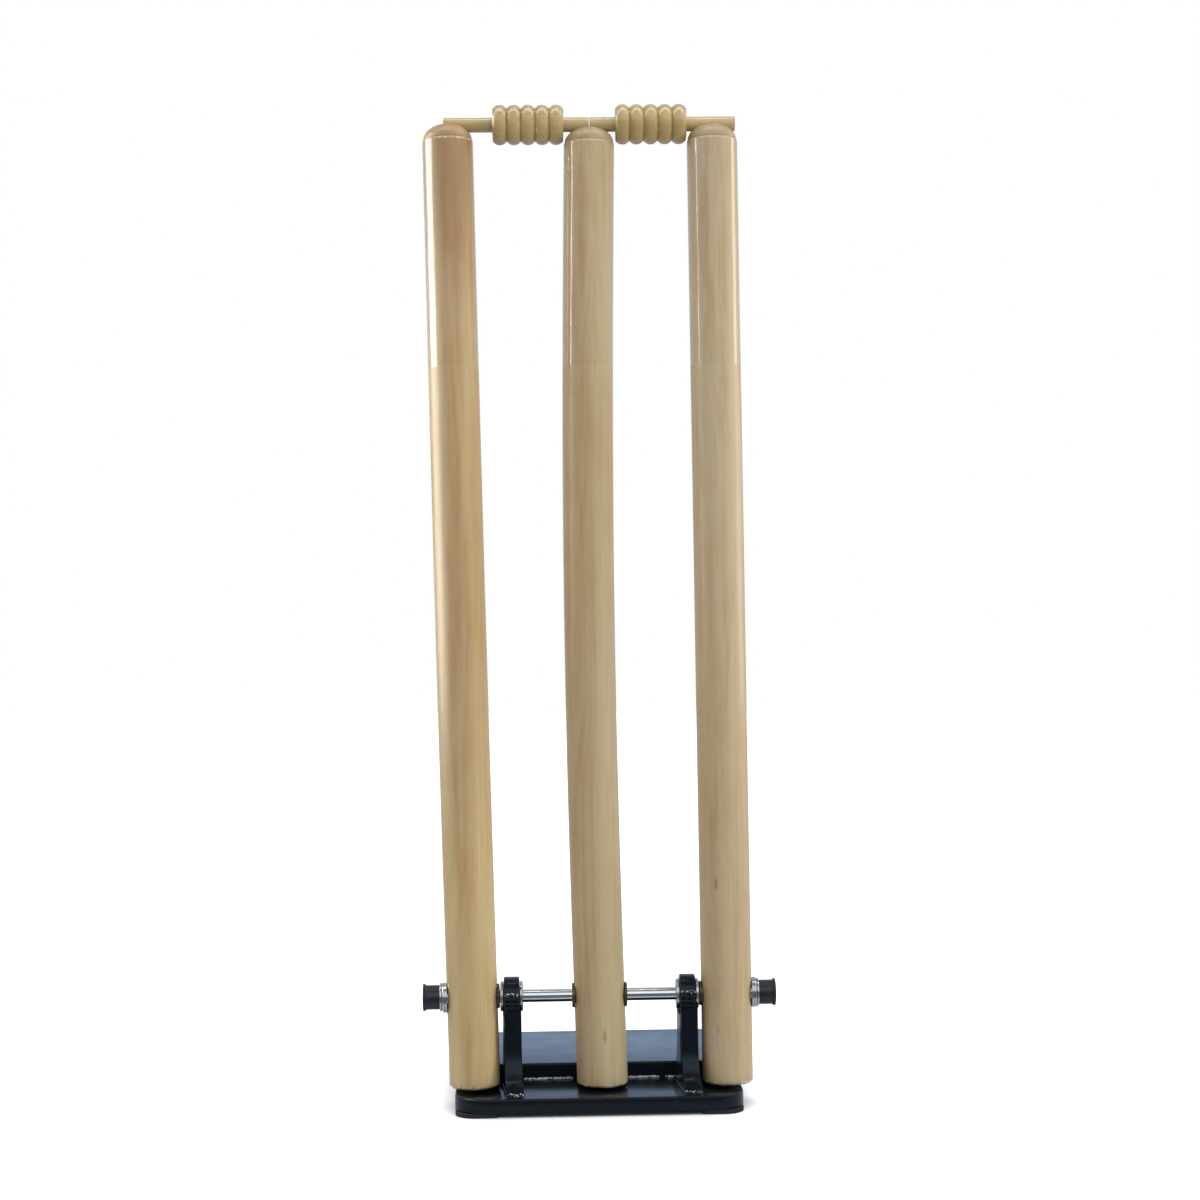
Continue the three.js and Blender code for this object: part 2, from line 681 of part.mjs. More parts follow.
// A bail turned about X, from its short spigot to its long one. Its barrel starts at zero.
function makeBail(direction, shortSpigot) {
  const [spigot, crest] = [spigotDiameter / 2, beadDiameter / 2];
  const outline = [
    [0, -shortSpigot],
    [spigot - spigotChamfer, -shortSpigot],
    [spigot, -shortSpigot + spigotChamfer],
    [spigot, 0],
  ];
  const bead = barrelLength / beadCount;
  const crownShares = [0, 0.14, 0.34, 0.66, 0.86];
  for (let i = 0; i < beadCount; i++) {
    crownShares.forEach((share) => {
      const rise = beadGroove * (1 - Math.abs(2 * share - 1) ** beadPower);
      outline.push([crest - beadGroove + rise, (i + share) * bead]);
    });
  }
  outline.push(
    [crest - beadGroove, barrelLength],
    [spigot, barrelLength],
    [spigot, barrelLength + longSpigot - spigotChamfer],
    [spigot - spigotChamfer, barrelLength + longSpigot],
    [0, barrelLength + longSpigot],
  );
  const bail = turnedAlongX(outline, bailFaces);
  return direction > 0 ? bail : bail.rotateZ(Math.PI);
}

// The two bails, whose short spigots meet over the middle stump.
function makeBails() {
  const group = new THREE.Group();
  const bailZ = axleZ + bailAxis * Math.cos(leanMost);
  const shortSpigot = stumpRadius + bailSideGap - bailMeetGap;
  for (const [side, direction] of [["left", -1], ["right", 1]]) {
    const bail = piece(`${side}_bail`, makeBail(direction, shortSpigot), turnedWood);
    bail.position.set(crownX("middle") + direction * (stumpRadius + bailSideGap), stumpLineY, bailZ);
    group.add(bail);
  }
  return group;
}

const stumps = new THREE.Group();
stumps.add(makeBase(), makeBracket("left"), makeBracket("right"), makeAxle());
Object.keys(sides).forEach((side) => stumps.add(makeStump(side), makeRest(side)));
stumps.add(makeSprings(), makeBails());

export default stumps;
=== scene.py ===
# %% [markdown]
# # Spring-back cricket stumps, dressed for a photograph
#
# The real object is a practice set: three wooden stumps and two loose bails on a heavy black steel
# stand. Each stump hangs on one long axle, and a spring behind its foot pulls it upright when it has
# been hit.
#
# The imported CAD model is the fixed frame: its pieces already stand in the right place and move on the
# right joints. The set could be modelled once more by hand in the viewport, but then every size would
# be measured twice and would drift. So this lesson computes a finer surface over each CAD piece from
# the same sizes, gives it a procedural material, and sets up the light and the camera.
#
# Lengths in the shape cells are millimetres in the CAD model's own axes: X to the right, Y to the back,
# Z up, with the ground at zero.

import json
import math

import bmesh
import bpy
import numpy as np
from mathutils import Matrix, Vector


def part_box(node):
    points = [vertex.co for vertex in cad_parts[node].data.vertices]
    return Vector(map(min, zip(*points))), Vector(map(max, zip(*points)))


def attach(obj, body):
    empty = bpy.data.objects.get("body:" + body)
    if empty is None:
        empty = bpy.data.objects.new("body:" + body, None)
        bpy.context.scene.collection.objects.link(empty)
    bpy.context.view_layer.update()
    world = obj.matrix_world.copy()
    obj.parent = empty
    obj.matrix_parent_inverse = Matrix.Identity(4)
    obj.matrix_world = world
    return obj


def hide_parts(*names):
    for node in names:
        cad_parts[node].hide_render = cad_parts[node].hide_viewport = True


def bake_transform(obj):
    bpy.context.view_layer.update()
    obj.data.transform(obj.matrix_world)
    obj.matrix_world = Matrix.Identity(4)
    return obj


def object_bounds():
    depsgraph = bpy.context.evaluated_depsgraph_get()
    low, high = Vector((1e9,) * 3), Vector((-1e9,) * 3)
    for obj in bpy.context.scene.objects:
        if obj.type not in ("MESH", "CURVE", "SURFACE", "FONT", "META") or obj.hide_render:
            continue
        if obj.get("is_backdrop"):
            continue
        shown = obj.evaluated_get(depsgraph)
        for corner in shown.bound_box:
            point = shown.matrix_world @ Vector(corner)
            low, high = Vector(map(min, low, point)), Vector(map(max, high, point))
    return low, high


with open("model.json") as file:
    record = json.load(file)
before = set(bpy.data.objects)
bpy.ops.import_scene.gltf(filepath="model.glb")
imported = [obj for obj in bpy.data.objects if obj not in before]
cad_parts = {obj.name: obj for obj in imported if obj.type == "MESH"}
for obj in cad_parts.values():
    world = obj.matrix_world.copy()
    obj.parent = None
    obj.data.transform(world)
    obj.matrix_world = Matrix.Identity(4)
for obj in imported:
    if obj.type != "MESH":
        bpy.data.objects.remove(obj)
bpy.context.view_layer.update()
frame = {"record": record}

# %% [markdown]
# ## Sizes that several pieces share
#
# On a real drawing these sizes would stand in the title block: the stumps' length and thickness, their
# distance from each other and the height of the axle. The cells print how far they are from the frame,
# which should be close to zero.

# %% Sizes of the stumps, the axle and the plates
MM = 0.001
STUMP_R = 20.0
STUMP_LENGTH = 760.0
DOME = 13.2
SHOULDER = 0.7
LINE_Y = -66.0
AXLE_Z = 87.5
BELOW_AXLE = 70.0
SPACING = 100.5
SEAT_GAP = 0.3
PLATE_TOP = 14.5
BALLAST_TOP = 27.2
plate_low, plate_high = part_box("base_plate")
print("plate top is off by", round(plate_high.z / MM - PLATE_TOP, 2), "mm")

# %% [markdown]
# ### Bowed and leaning stumps
#
# No stump in a used set is quite straight or quite upright. The middle one here is bowed by five
# millimetres. A Simple Deform modifier could bend a straight stump, but the bend has to pass through
# the axle and end under the bails, and a formula does that exactly: half a sine wave for the bow, then
# a lean about the axle. Everything that sits on a stump asks the same formula where its middle is.

# %% Middle line of a stump
SIDES = {"left": -1, "middle": 0, "right": 1}
LEAN = {"left": 1.0, "middle": 0.12, "right": 0.27}
BOW = {"left": 0.8, "middle": 5.3, "right": 0.0}
SHORT = {"left": 0.0, "middle": 3.0, "right": 1.0}


def middle_line(side, height):
    """World x and z of a stump's middle line at a height h above its foot. The bow is the bow's depth
    times the sine of 180 degrees times h over the length. It is zero at the axle, and all is turned by
    the lean."""
    lean = math.radians(LEAN[side])
    arch = lambda h: BOW[side] * np.sin(np.pi * np.clip(np.asarray(h, float) / STUMP_LENGTH, 0, 1))
    across = arch(BELOW_AXLE) - arch(height)
    along = np.asarray(height, float) - BELOW_AXLE
    x = SIDES[side] * SPACING + across * math.cos(lean) - along * math.sin(lean)
    return x, AXLE_Z + along * math.cos(lean) + across * math.sin(lean)


def below_axle(side, below):
    """World x of a stump's middle line at a distance below the axle."""
    return float(middle_line(side, BELOW_AXLE - below)[0])


# %% [markdown]
# ## Tools for surfaces
#
# Nearly every piece of the set is turned, bent from wire or cut from plate, so nearly every surface is
# a stack of rings: a closed line repeated along the piece. Blender could make them with Screw, Bevel
# and curve modifiers. Here numpy computes all the points of a surface at once instead, because the ring
# formulas can follow a bow or a flaw, and nothing is left in a modifier stack for the export to apply.
#
# `make_piece` takes the points in millimetres and the faces as arrays of point numbers, and returns a
# finished object that sits at the origin, unturned and unscaled.

# %% From arrays to an object


def finish_shading(piece, sharp=35.0):
    """Turns every face outwards, shades smoothly, and keeps an edge sharp where its two faces meet at
    more than `sharp` degrees."""
    shape = bmesh.new()
    shape.from_mesh(piece.data)
    bmesh.ops.recalc_face_normals(shape, faces=shape.faces)
    shape.to_mesh(piece.data)
    shape.free()
    piece.data.polygons.foreach_set("use_smooth", np.ones(len(piece.data.polygons), bool))
    piece.data.set_sharp_from_angle(angle=math.radians(sharp))
    piece.data.update()
    return piece


def make_piece(name, points, *faces, sharp=35.0):
    """An object from an (n, 3) array of points and arrays of faces, each array with one face to a
    row."""
    mesh = bpy.data.meshes.new(name)
    mesh.vertices.add(len(points))
    mesh.vertices.foreach_set("co", (np.asarray(points, np.float32) * MM).ravel())
    corners = np.concatenate([np.asarray(f, np.int32).ravel() for f in faces])
    sizes = np.concatenate([np.full(len(f), np.asarray(f).shape[1], np.int32) for f in faces])
    mesh.loops.add(len(corners))
    mesh.loops.foreach_set("vertex_index", corners)
    mesh.polygons.add(len(sizes))
    starts = np.concatenate([[0], np.cumsum(sizes)[:-1]]).astype(np.int32)
    mesh.polygons.foreach_set("loop_start", starts)
    mesh.update(calc_edges=True)
    piece = bpy.data.objects.new(name, mesh)
    bpy.context.scene.collection.objects.link(piece)
    return finish_shading(piece, sharp)


print("tools ready:", make_piece.__name__, "and", finish_shading.__name__)

# %% From rings to a skin


def wall(rings, around, closed=False):
    """The four-sided faces between neighbouring rings of `around` points each. Point j of ring i has
    the number i times `around` plus j."""
    i = np.arange(rings if closed else rings - 1)[:, None]
    j = np.arange(around)[None, :]
    after = (i + 1) % rings
    k = (j + 1) % around
    cells = [i * around + j, i * around + k, after * around + k, after * around + j]
    return np.stack(np.broadcast_arrays(*cells), -1).reshape(-1, 4)


def skin(name, rings, closed=False, sharp=35.0):
    """A piece through an (m, n, 3) array of rings. Each open end gets a flat face, and points that lie
    on each other are joined, so that an end of zero radius comes to a point."""
    count, around = rings.shape[:2]
    faces = [wall(count, around, closed)]
    if not closed:
        faces += [np.arange(around)[None, ::-1], (count - 1) * around + np.arange(around)[None, :]]
    piece = make_piece(name, rings.reshape(-1, 3), *faces, sharp=sharp)
    shape = bmesh.new()
    shape.from_mesh(piece.data)
    bmesh.ops.remove_doubles(shape, verts=shape.verts, dist=1e-7)
    bmesh.ops.dissolve_degenerate(shape, edges=shape.edges, dist=1e-8)
    shape.to_mesh(piece.data)
    shape.free()
    return finish_shading(piece, sharp)


print("a wall of 3 rings of 4 points has", len(wall(3, 4)), "faces")

# %% Corners rounded by an arc


def rounded(corners, radii, steps=5, closed=False):
    """A line of 2-D corners with each corner replaced by a circular arc of its own radius. Where two
    sides meet at an angle, the arc starts and ends at radius / tan(angle / 2) from the corner, and its
    centre lies at radius / sin(angle / 2) on the line that halves the angle."""
    corners = np.asarray(corners, float)
    radii = np.broadcast_to(np.asarray(radii, float), (len(corners),))
    out = []
    for i, here in enumerate(corners):
        at_end = not closed and i in (0, len(corners) - 1)
        if at_end or radii[i] <= 0:
            out.append(here[None])
            continue
        before, after = corners[i - 1] - here, corners[(i + 1) % len(corners)] - here
        room = [0.49 * np.linalg.norm(before), 0.49 * np.linalg.norm(after)]
        a, b = before / np.linalg.norm(before), after / np.linalg.norm(after)
        half = math.acos(np.clip(a @ b, -1, 1)) / 2
        reach = min(radii[i] / math.tan(half), *room)
        radius = reach * math.tan(half)
        toward = (a + b) / np.linalg.norm(a + b)
        centre = here + toward * radius / math.sin(half)
        start, end = here + a * reach - centre, here + b * reach - centre
        turn = math.atan2(start[0] * end[1] - start[1] * end[0], start @ end)
        t = np.linspace(0, turn, steps + 1)[:, None]
        out.append(centre + start * np.cos(t) + np.array([-start[1], start[0]]) * np.sin(t))
    return np.concatenate(out)


square = [[0, 0], [10, 0], [10, 10], [0, 10]]
print("a square with rounded corners has", len(rounded(square, 2, closed=True)), "points")

# %% Turned shapes


def turned(outline, around=96):
    """The rings of a shape turned about Z from an outline of [radius r, height z]. A point at the angle
    a is at r cos a, r sin a, z."""
    outline = np.asarray(outline, float)
    angle = np.linspace(0, 2 * np.pi, around, endpoint=False)[None, :]
    radius, height = outline[:, :1], outline[:, 1:]
    return np.stack([radius * np.cos(angle), radius * np.sin(angle), height + 0 * angle], -1)


def along_x(rings):
    """Rings about Z laid down so that their axis is X: height becomes X."""
    return np.stack([rings[..., 2], rings[..., 0], rings[..., 1]], -1)


def leaned(rings, lean):
    """Rings turned about Y at the origin: x becomes x cos a less z sin a, and z becomes z cos a plus x
    sin a."""
    x = rings[..., 0] * math.cos(lean) - rings[..., 2] * math.sin(lean)
    z = rings[..., 2] * math.cos(lean) + rings[..., 0] * math.sin(lean)
    return np.stack([x, rings[..., 1], z], -1)


print("a turned peg has rings of shape", turned([[1, 0], [1, 5]]).shape)

# %% Unevenness for handmade surfaces


def ripple(points, seed, size):
    """A smooth, slightly uneven value for each point, between -1 and 1: the mean of seven sines, each
    along its own fixed direction, with waves about six times `size` long."""
    random = np.random.default_rng(seed)
    directions = random.normal(size=(7, 3)) / size
    phases = random.uniform(0, 2 * np.pi, 7)
    return np.sin(np.asarray(points) @ directions.T + phases).mean(-1)


print("ripple at the origin", round(float(ripple([0, 0, 0], 3, 9.0)), 3))

# %% Cutting one piece with others


def carve(piece, *cutters):
    """Cuts closed pieces out of a piece, keeps the result as its mesh, and removes the cutters."""
    for cutter in cutters:
        step = piece.modifiers.new("cut", "BOOLEAN")
        step.operation, step.solver, step.object = "DIFFERENCE", "EXACT", cutter
    seen = bpy.context.evaluated_depsgraph_get()
    cut = bpy.data.meshes.new_from_object(piece.evaluated_get(seen))
    piece.modifiers.clear()
    piece.data = cut
    cut.name = piece.name
    for cutter in cutters:
        bpy.data.objects.remove(cutter)
    return finish_shading(piece, 40)


print("cuts are made with the exact solver and leave no modifier behind")

# %% [markdown]
# ## Tools for colour
#
# A material is a small network of nodes. It could be wired by hand in the Shader Editor, but a network
# written as code can be read from top to bottom like a recipe. Each helper below adds one node and
# returns the socket that the next line needs. A node group is built once and placed in several
# materials with other values.

# %% Adding and wiring a node


def wired(tree, node, inputs):
    """Sets the inputs of a node, and links those that are given as sockets of other nodes."""
    for key, value in inputs.items():
        if isinstance(value, bpy.types.NodeSocket):
            tree.links.new(value, node.inputs[key])
        else:
            node.inputs[key].default_value = value
    return node


def grow(tree, kind, inputs=None, **settings):
    """A new node of a kind. `inputs` maps the names or numbers of its inputs to sockets or values."""
    node = tree.nodes.new(kind)
    for key, value in settings.items():
        setattr(node, key, value)
    return wired(tree, node, inputs or {})


print("tools ready:", wired.__name__, "and", grow.__name__)

# %% Sums on values


def sums(tree, operation, a, b=0.0, clamp=False):
    """The result of one sum on two values."""
    return grow(tree, "ShaderNodeMath", {0: a, 1: b}, operation=operation, use_clamp=clamp).outputs[0]


def times(tree, a, b):
    """One value times another."""
    return sums(tree, "MULTIPLY", a, b)


def plus(tree, a, b):
    """Two values added."""
    return sums(tree, "ADD", a, b)


def minus(tree, a, b):
    """One value less another."""
    return sums(tree, "SUBTRACT", a, b)


def span(tree, value, low, high, to_low=0.0, to_high=1.0):
    """A value moved from one range to another, with a soft start and end, and held inside the new
    range."""
    values = {"Value": value, "From Min": low, "From Max": high, "To Min": to_low, "To Max": to_high}
    return grow(tree, "ShaderNodeMapRange", values, interpolation_type="SMOOTHSTEP").outputs[0]


print("tools ready:", ", ".join(tool.__name__ for tool in (sums, times, plus, minus, span)))

# %% Coordinates and patterns


def split_axes(tree, vector):
    """The x, y and z of a coordinate."""
    return grow(tree, "ShaderNodeSeparateXYZ", {0: vector}).outputs


def stretched(tree, vector, scale):
    """A coordinate stretched by its own factor on each axis."""
    return grow(tree, "ShaderNodeMapping", {"Vector": vector, "Scale": scale}).outputs[0]


def moved_by(tree, vector, shift):
    """A coordinate moved by a shift."""
    return grow(tree, "ShaderNodeVectorMath", {0: vector, 1: shift}).outputs[0]


def noise(tree, vector, scale, detail=3.0, roughness=0.55):
    """A soft random value for each coordinate. Scales are waves to the metre."""
    values = {"Vector": vector, "Scale": scale, "Detail": detail, "Roughness": roughness}
    return grow(tree, "ShaderNodeTexNoise", values).outputs["Fac"]


def drawn_noise(tree, vector, scale, detail=3.0, roughness=0.55):
    """Noise with its own scale on each axis, so that it can be drawn out into streaks."""
    return noise(tree, stretched(tree, vector, scale), 1.0, detail, roughness)


def specks(tree, vector, scale, size, rarity):
    """Round specks, 1 inside and 0 outside: the middles of random cells, in only a few of the cells.
    `size` and `rarity` are each a pair of values between which the edge or the choice is soft."""
    cells = grow(tree, "ShaderNodeTexVoronoi", {"Vector": vector, "Scale": scale})
    speck = span(tree, cells.outputs["Distance"], *size, 1.0, 0.0)
    chance = grow(tree, "ShaderNodeSeparateColor", {0: cells.outputs["Color"]}).outputs[0]
    return times(tree, speck, span(tree, chance, *rarity))


tools = (split_axes, stretched, moved_by, noise, drawn_noise, specks)
print("tools ready:", ", ".join(tool.__name__ for tool in tools))

# %% Colours, bumps and empty materials
COLOUR_SHARE, COLOUR_A, COLOUR_B, COLOUR_RESULT = 0, 6, 7, 2


def blended(tree, share, first, second, kind="MIX"):
    """Two colours mixed by a share, or the first one times the second where the kind is MULTIPLY."""
    inputs = {COLOUR_SHARE: share, COLOUR_A: first, COLOUR_B: second}
    return grow(tree, "ShaderNodeMix", inputs, data_type="RGBA", blend_type=kind).outputs[COLOUR_RESULT]


def bump(tree, height, distance, strength=1.0):
    """A surface direction tilted by a height. `distance` is the height of a value of 1, in metres."""
    inputs = {"Height": height, "Distance": distance, "Strength": strength}
    return grow(tree, "ShaderNodeBump", inputs).outputs[0]


def new_material(name):
    """A material with its surface shader and the object coordinate."""
    material = bpy.data.materials.new(name)
    material.use_nodes = True
    tree = material.node_tree
    tree.nodes.clear()
    shader = tree.nodes.new("ShaderNodeBsdfPrincipled")
    tree.links.new(shader.outputs[0], tree.nodes.new("ShaderNodeOutputMaterial").inputs[0])
    return material, tree, shader, tree.nodes.new("ShaderNodeTexCoord").outputs["Object"]


print("tools ready:", ", ".join(tool.__name__ for tool in (blended, bump, new_material)))

# %% Node groups


def new_group(name, inputs, outputs):
    """An empty node group. Inputs and outputs are lists of (name, socket kind, default or None)."""
    group = bpy.data.node_groups.new(name, "ShaderNodeTree")
    for label, kind, start in inputs:
        socket = group.interface.new_socket(label, in_out="INPUT", socket_type=kind)
        if start is not None:
            socket.default_value = start
    for label, kind in outputs:
        group.interface.new_socket(label, in_out="OUTPUT", socket_type=kind)
    return group, group.nodes.new("NodeGroupInput").outputs, group.nodes.new("NodeGroupOutput").inputs


def grouped(tree, group, inputs):
    """The outputs of a group that is placed in a material with some inputs."""
    node = tree.nodes.new("ShaderNodeGroup")
    node.node_tree = group
    return wired(tree, node, inputs).outputs


VECTOR, COLOUR, VALUE = "NodeSocketVector", "NodeSocketColor", "NodeSocketFloat"
print("sockets of the groups:", VECTOR, COLOUR, VALUE)

# %% [markdown]
# ## Wood
#
# Stumps and bails are turned from ash, a pale wood with straight grain. A photograph of a board could
# be wrapped round them, but it would repeat and show a seam. A solid pattern has neither: it gives
# every point in space a colour, as a real block of wood does, and the turned shape cuts through it.
#
# The wood's length runs along Z of the coordinate that the group is given. Growth bands come from a
# wavy plane through the log. Fibres, streaks and pores are noise drawn out along the length, a slow
# drift and blotches warm it, and a few dark flecks lie here and there.

# %% Wood as a node group


def wood_share(g, place, streaks, fibres, amount):
    """How dark the grain is: bands by their amount, then streaks and fibres. A band is a noise value
    along a plane through the log, 60 x + 34 y, which sways by 5 times a slow noise."""
    x, y, _ = split_axes(g, place)
    sway = drawn_noise(g, place, (18, 18, 2.2), 2.0)
    plane = plus(g, times(g, x, 60.0), times(g, y, 34.0))
    plane = plus(g, plane, times(g, sway, 5.0))
    values = {"W": plane, "Scale": 2.6, "Detail": 4.0, "Roughness": 0.62}
    rings = grow(g, "ShaderNodeTexNoise", values, noise_dimensions="1D").outputs["Fac"]
    share = times(g, span(g, rings, 0.3, 0.72), amount)
    share = plus(g, share, span(g, streaks, 0.35, 0.7, 0.0, 0.17))
    return sums(g, "ADD", share, span(g, fibres, 0.3, 0.75, -0.04, 0.10), clamp=True)


def wood_group():
    """Colour, roughness and height of pale, straight-grained hardwood."""
    inputs = [("Vector", VECTOR, None), ("Light", COLOUR, (0.70, 0.53, 0.33, 1)),
              ("Dark", COLOUR, (0.50, 0.34, 0.17, 1)), ("Bands", VALUE, 0.5)]
    outputs = [("Colour", COLOUR), ("Roughness", VALUE), ("Height", VALUE)]
    g, given, result = new_group("Pale hardwood", inputs, outputs)
    place = given["Vector"]
    fibres = drawn_noise(g, place, (1300, 1300, 16), 4.0, 0.7)
    streaks = drawn_noise(g, place, (260, 260, 3.5), 3.0, 0.6)
    pores = span(g, drawn_noise(g, place, (2100, 2100, 90), 2.0), 0.66, 0.76)
    share = wood_share(g, place, streaks, fibres, given["Bands"])
    colour = blended(g, share, given["Light"], given["Dark"])
    drift = span(g, drawn_noise(g, place, (14, 14, 3.2), 2.0), 0.4, 0.7, 0.0, 0.55)
    colour = blended(g, drift, colour, (0.86, 0.74, 0.56, 1), "MULTIPLY")
    blotches = span(g, drawn_noise(g, place, (75, 75, 26), 3.0, 0.6), 0.42, 0.7, 0.0, 0.35)
    colour = blended(g, blotches, colour, (0.90, 0.80, 0.64, 1), "MULTIPLY")
    colour = blended(g, times(g, pores, 0.42), colour, (0.24, 0.14, 0.06, 1))
    flecks = specks(g, stretched(g, place, (60, 60, 17)), 1.0, (0.05, 0.11), (0.90, 0.93))
    colour = blended(g, times(g, flecks, 0.55), colour, (0.2, 0.11, 0.05, 1))
    g.links.new(colour, result["Colour"])
    g.links.new(span(g, streaks, 0.3, 0.7, 0.36, 0.5), result["Roughness"])
    g.links.new(minus(g, times(g, fibres, 0.6), pores), result["Height"])
    return g


WOOD = wood_group()
print("wood group:", len(WOOD.nodes), "nodes")

# %% [markdown]
# ## Dust and unevenness
#
# Nothing on the stand is perfectly clean: dust lies on the black paint, chrome has dull patches, rubber
# has a grain. Each material could have its own version, but they are the same three effects at other
# strengths, so one group gives them as plain values, and each material decides what to do with them.

# %% Dust as a node group


def wear_group():
    """Dust specks that gather in patches, a slow unevenness and a fine grain."""
    inputs = [("Vector", VECTOR, None), ("Grain", VALUE, 900.0)]
    outputs = [("Dust", VALUE), ("Slow", VALUE), ("Fine", VALUE)]
    g, given, result = new_group("Dust and unevenness", inputs, outputs)
    place = given["Vector"]
    patch = span(g, noise(g, place, 22.0, 2.0), 0.42, 0.62)
    dust = times(g, specks(g, place, 420.0, (0.06, 0.16), (0.86, 0.9)), patch)
    g.links.new(dust, result["Dust"])
    g.links.new(noise(g, place, 38.0, 2.0), result["Slow"])
    fine = grow(g, "ShaderNodeTexNoise", {"Vector": place, "Scale": given["Grain"], "Detail": 3.0})
    g.links.new(fine.outputs["Fac"], result["Fine"])
    return g


WEAR = wear_group()
print("dust group:", len(WEAR.nodes), "nodes")

# %% [markdown]
# ## Stump wood
#
# The three stumps come from different logs: one is warm and streaked, one greyer, one pale. One
# material with random tints would be quicker, but chance doesn't give these three. So each stump has
# its own named looks, and one recipe turns a set of looks into a material.

# %% Colours of the three stumps
# The dark stripe sits left of each stump's middle, so the paler tint right of it is painted light from the
# right as well as sapwood.
STUMP_LOOKS = {
    "left": {
        "light": (0.53, 0.375, 0.20, 1), "dark": (0.37, 0.225, 0.090, 1),
        "heart and shade at": -0.001, "heart and shade half": 0.008,
        "sapwood_and_lit_side": (1.12, 1.19, 1.18, 1), "foot": (1.14, 1.20, 1.17, 1),
        "under film": (0.74, 0.64, 0.54, 1), "film edge": 0.45,
    },
    "middle": {
        "light": (0.51, 0.385, 0.225, 1), "dark": (0.35, 0.24, 0.112, 1),
        "heart and shade at": -0.012, "heart and shade half": 0.012,
        "sapwood_and_lit_side": (1.06, 1.15, 1.20, 1), "foot": (1.04, 1.07, 1.10, 1),
        "under film": (0.92, 0.86, 0.78, 1), "film edge": 0.1,
    },
    "right": {
        "light": (0.535, 0.425, 0.262, 1), "dark": (0.38, 0.28, 0.142, 1),
        "heart and shade at": -0.004, "heart and shade half": 0.013,
        "sapwood_and_lit_side": (1.06, 1.03, 0.98, 1), "foot": (1.0, 1.0, 1.0, 1),
        "under film": (0.92, 0.90, 0.88, 1), "film edge": 0.1,
    },
}
print("looks for", ", ".join(STUMP_LOOKS))

# %% [markdown]
# ### Heartwood, stains and a painted lit side
#
# Sawn near the middle of its log, a stump shows a darker stripe of heartwood between pale sapwood, and
# years of use leave soft stains on it. The stripe sits left of each stump's middle, so the paler side on
# the right is also painted light, for light that falls from the right. The stripe could be painted on
# the mesh as a colour attribute, but its wavy edge would be no finer than the mesh. A mask made from the
# distance to the stump's own middle line is sharp at any size, and it leans with the stump.

# %% Heartwood, stains and a painted lit side
STRIPE_EDGE_SOFT = 0.004
STRIPE_WANDER = 0.014
PALE_FOOT_ENDS, PALE_FOOT_FULL = 0.36, 0.14


def log_colour(tree, side, look, place, moved, colour):
    """Sapwood on both sides of a wandering stripe of heartwood, a paler foot, and stains that lie
    mostly on the heartwood. The stripe sits left of the middle, so the paler right side is also painted
    light from the right. A point is as far across the stripe as it is from the stump's middle line:
    x less the stump's own x, plus the height over the axle times the tangent of the lean."""
    x, _, height = split_axes(tree, place)
    over_axle = minus(tree, height, AXLE_Z * MM)
    leaning = times(tree, over_axle, math.tan(math.radians(LEAN[side])))
    across = plus(tree, minus(tree, x, SIDES[side] * SPACING * MM + look["heart and shade at"]), leaning)
    wander = minus(tree, drawn_noise(tree, place, (45, 45, 5)), 0.5)
    across = plus(tree, across, times(tree, wander, STRIPE_WANDER))
    edge = look["heart and shade half"]
    # painted light: the paler tint right of the stripe also stands for light from the right
    sapwood_and_lit_side = span(tree, sums(tree, "ABSOLUTE", across), edge - STRIPE_EDGE_SOFT, edge + STRIPE_EDGE_SOFT)
    colour = blended(tree, sapwood_and_lit_side, colour, look["sapwood_and_lit_side"], "MULTIPLY")
    pale_foot = span(tree, height, PALE_FOOT_ENDS, PALE_FOOT_FULL)
    colour = blended(tree, pale_foot, colour, look["foot"], "MULTIPLY")
    stain = span(tree, drawn_noise(tree, moved, (120, 120, 10), 4.0, 0.6), 0.50, 0.66, 0.0, 0.55)
    stain = times(tree, stain, minus(tree, 1.0, times(tree, sapwood_and_lit_side, 0.6)))
    return blended(tree, stain, colour, (0.88, 0.76, 0.64, 1), "MULTIPLY")


for side, look in STUMP_LOOKS.items():
    print(side, "heartwood stripe is", round(2 * look["heart and shade half"] / MM, 1), "mm wide")

# %% [markdown]
# ### Clear film
#
# Clear film is wrapped round the top third of each stump, to guard it against the ball. It has thin
# pale edges, a warm haze in soft streaks, and a much glossier face than the satin lacquer. It could be
# a thin tube of its own, but a second skin a tenth of a millimetre off the first one flickers, and it
# shows in the groove. So the film is part of the material: masks by height say where it lies, and there
# the shader's coat grows thicker and smoother.

# %% Where the film lies
FOOT_Z = (AXLE_Z - BELOW_AXLE) * MM
FILM_LOW = 0.584
END_WANDER = 0.003
HAZE_FADE = 0.06


def film_masks(tree, side, place):
    """Four masks: inside the film, its pale edges, its upper part, which grows towards the top, and the
    dome above it. The film's ends are cut by hand, so they wander by up to a millimetre."""
    high = FOOT_Z + (STUMP_LENGTH - SHORT[side] - DOME - 0.5) * MM
    height = split_axes(tree, place)[2]
    edge = plus(tree, height, times(tree, minus(tree, noise(tree, place, 70.0), 0.5), END_WANDER))
    under = span(tree, height, high - 0.0002, high + 0.0002, 1.0, 0.0)
    inside = times(tree, span(tree, edge, FILM_LOW - 0.0002, FILM_LOW + 0.0002), under)
    top_line = times(tree, span(tree, edge, high - 0.0016, high - 0.0004), under)
    low_line = times(tree, span(tree, edge, FILM_LOW - 0.0002, FILM_LOW + 0.0001),
                     span(tree, edge, FILM_LOW + 0.0004, FILM_LOW + 0.0009, 1.0, 0.0))
    broken = span(tree, drawn_noise(tree, place, (260, 260, 90)), 0.42, 0.6)
    lines = times(tree, plus(tree, top_line, times(tree, low_line, 0.25)), broken)
    upper = times(tree, inside, span(tree, height, FILM_LOW + 0.02, high))
    return inside, lines, upper, minus(tree, 1.0, under)


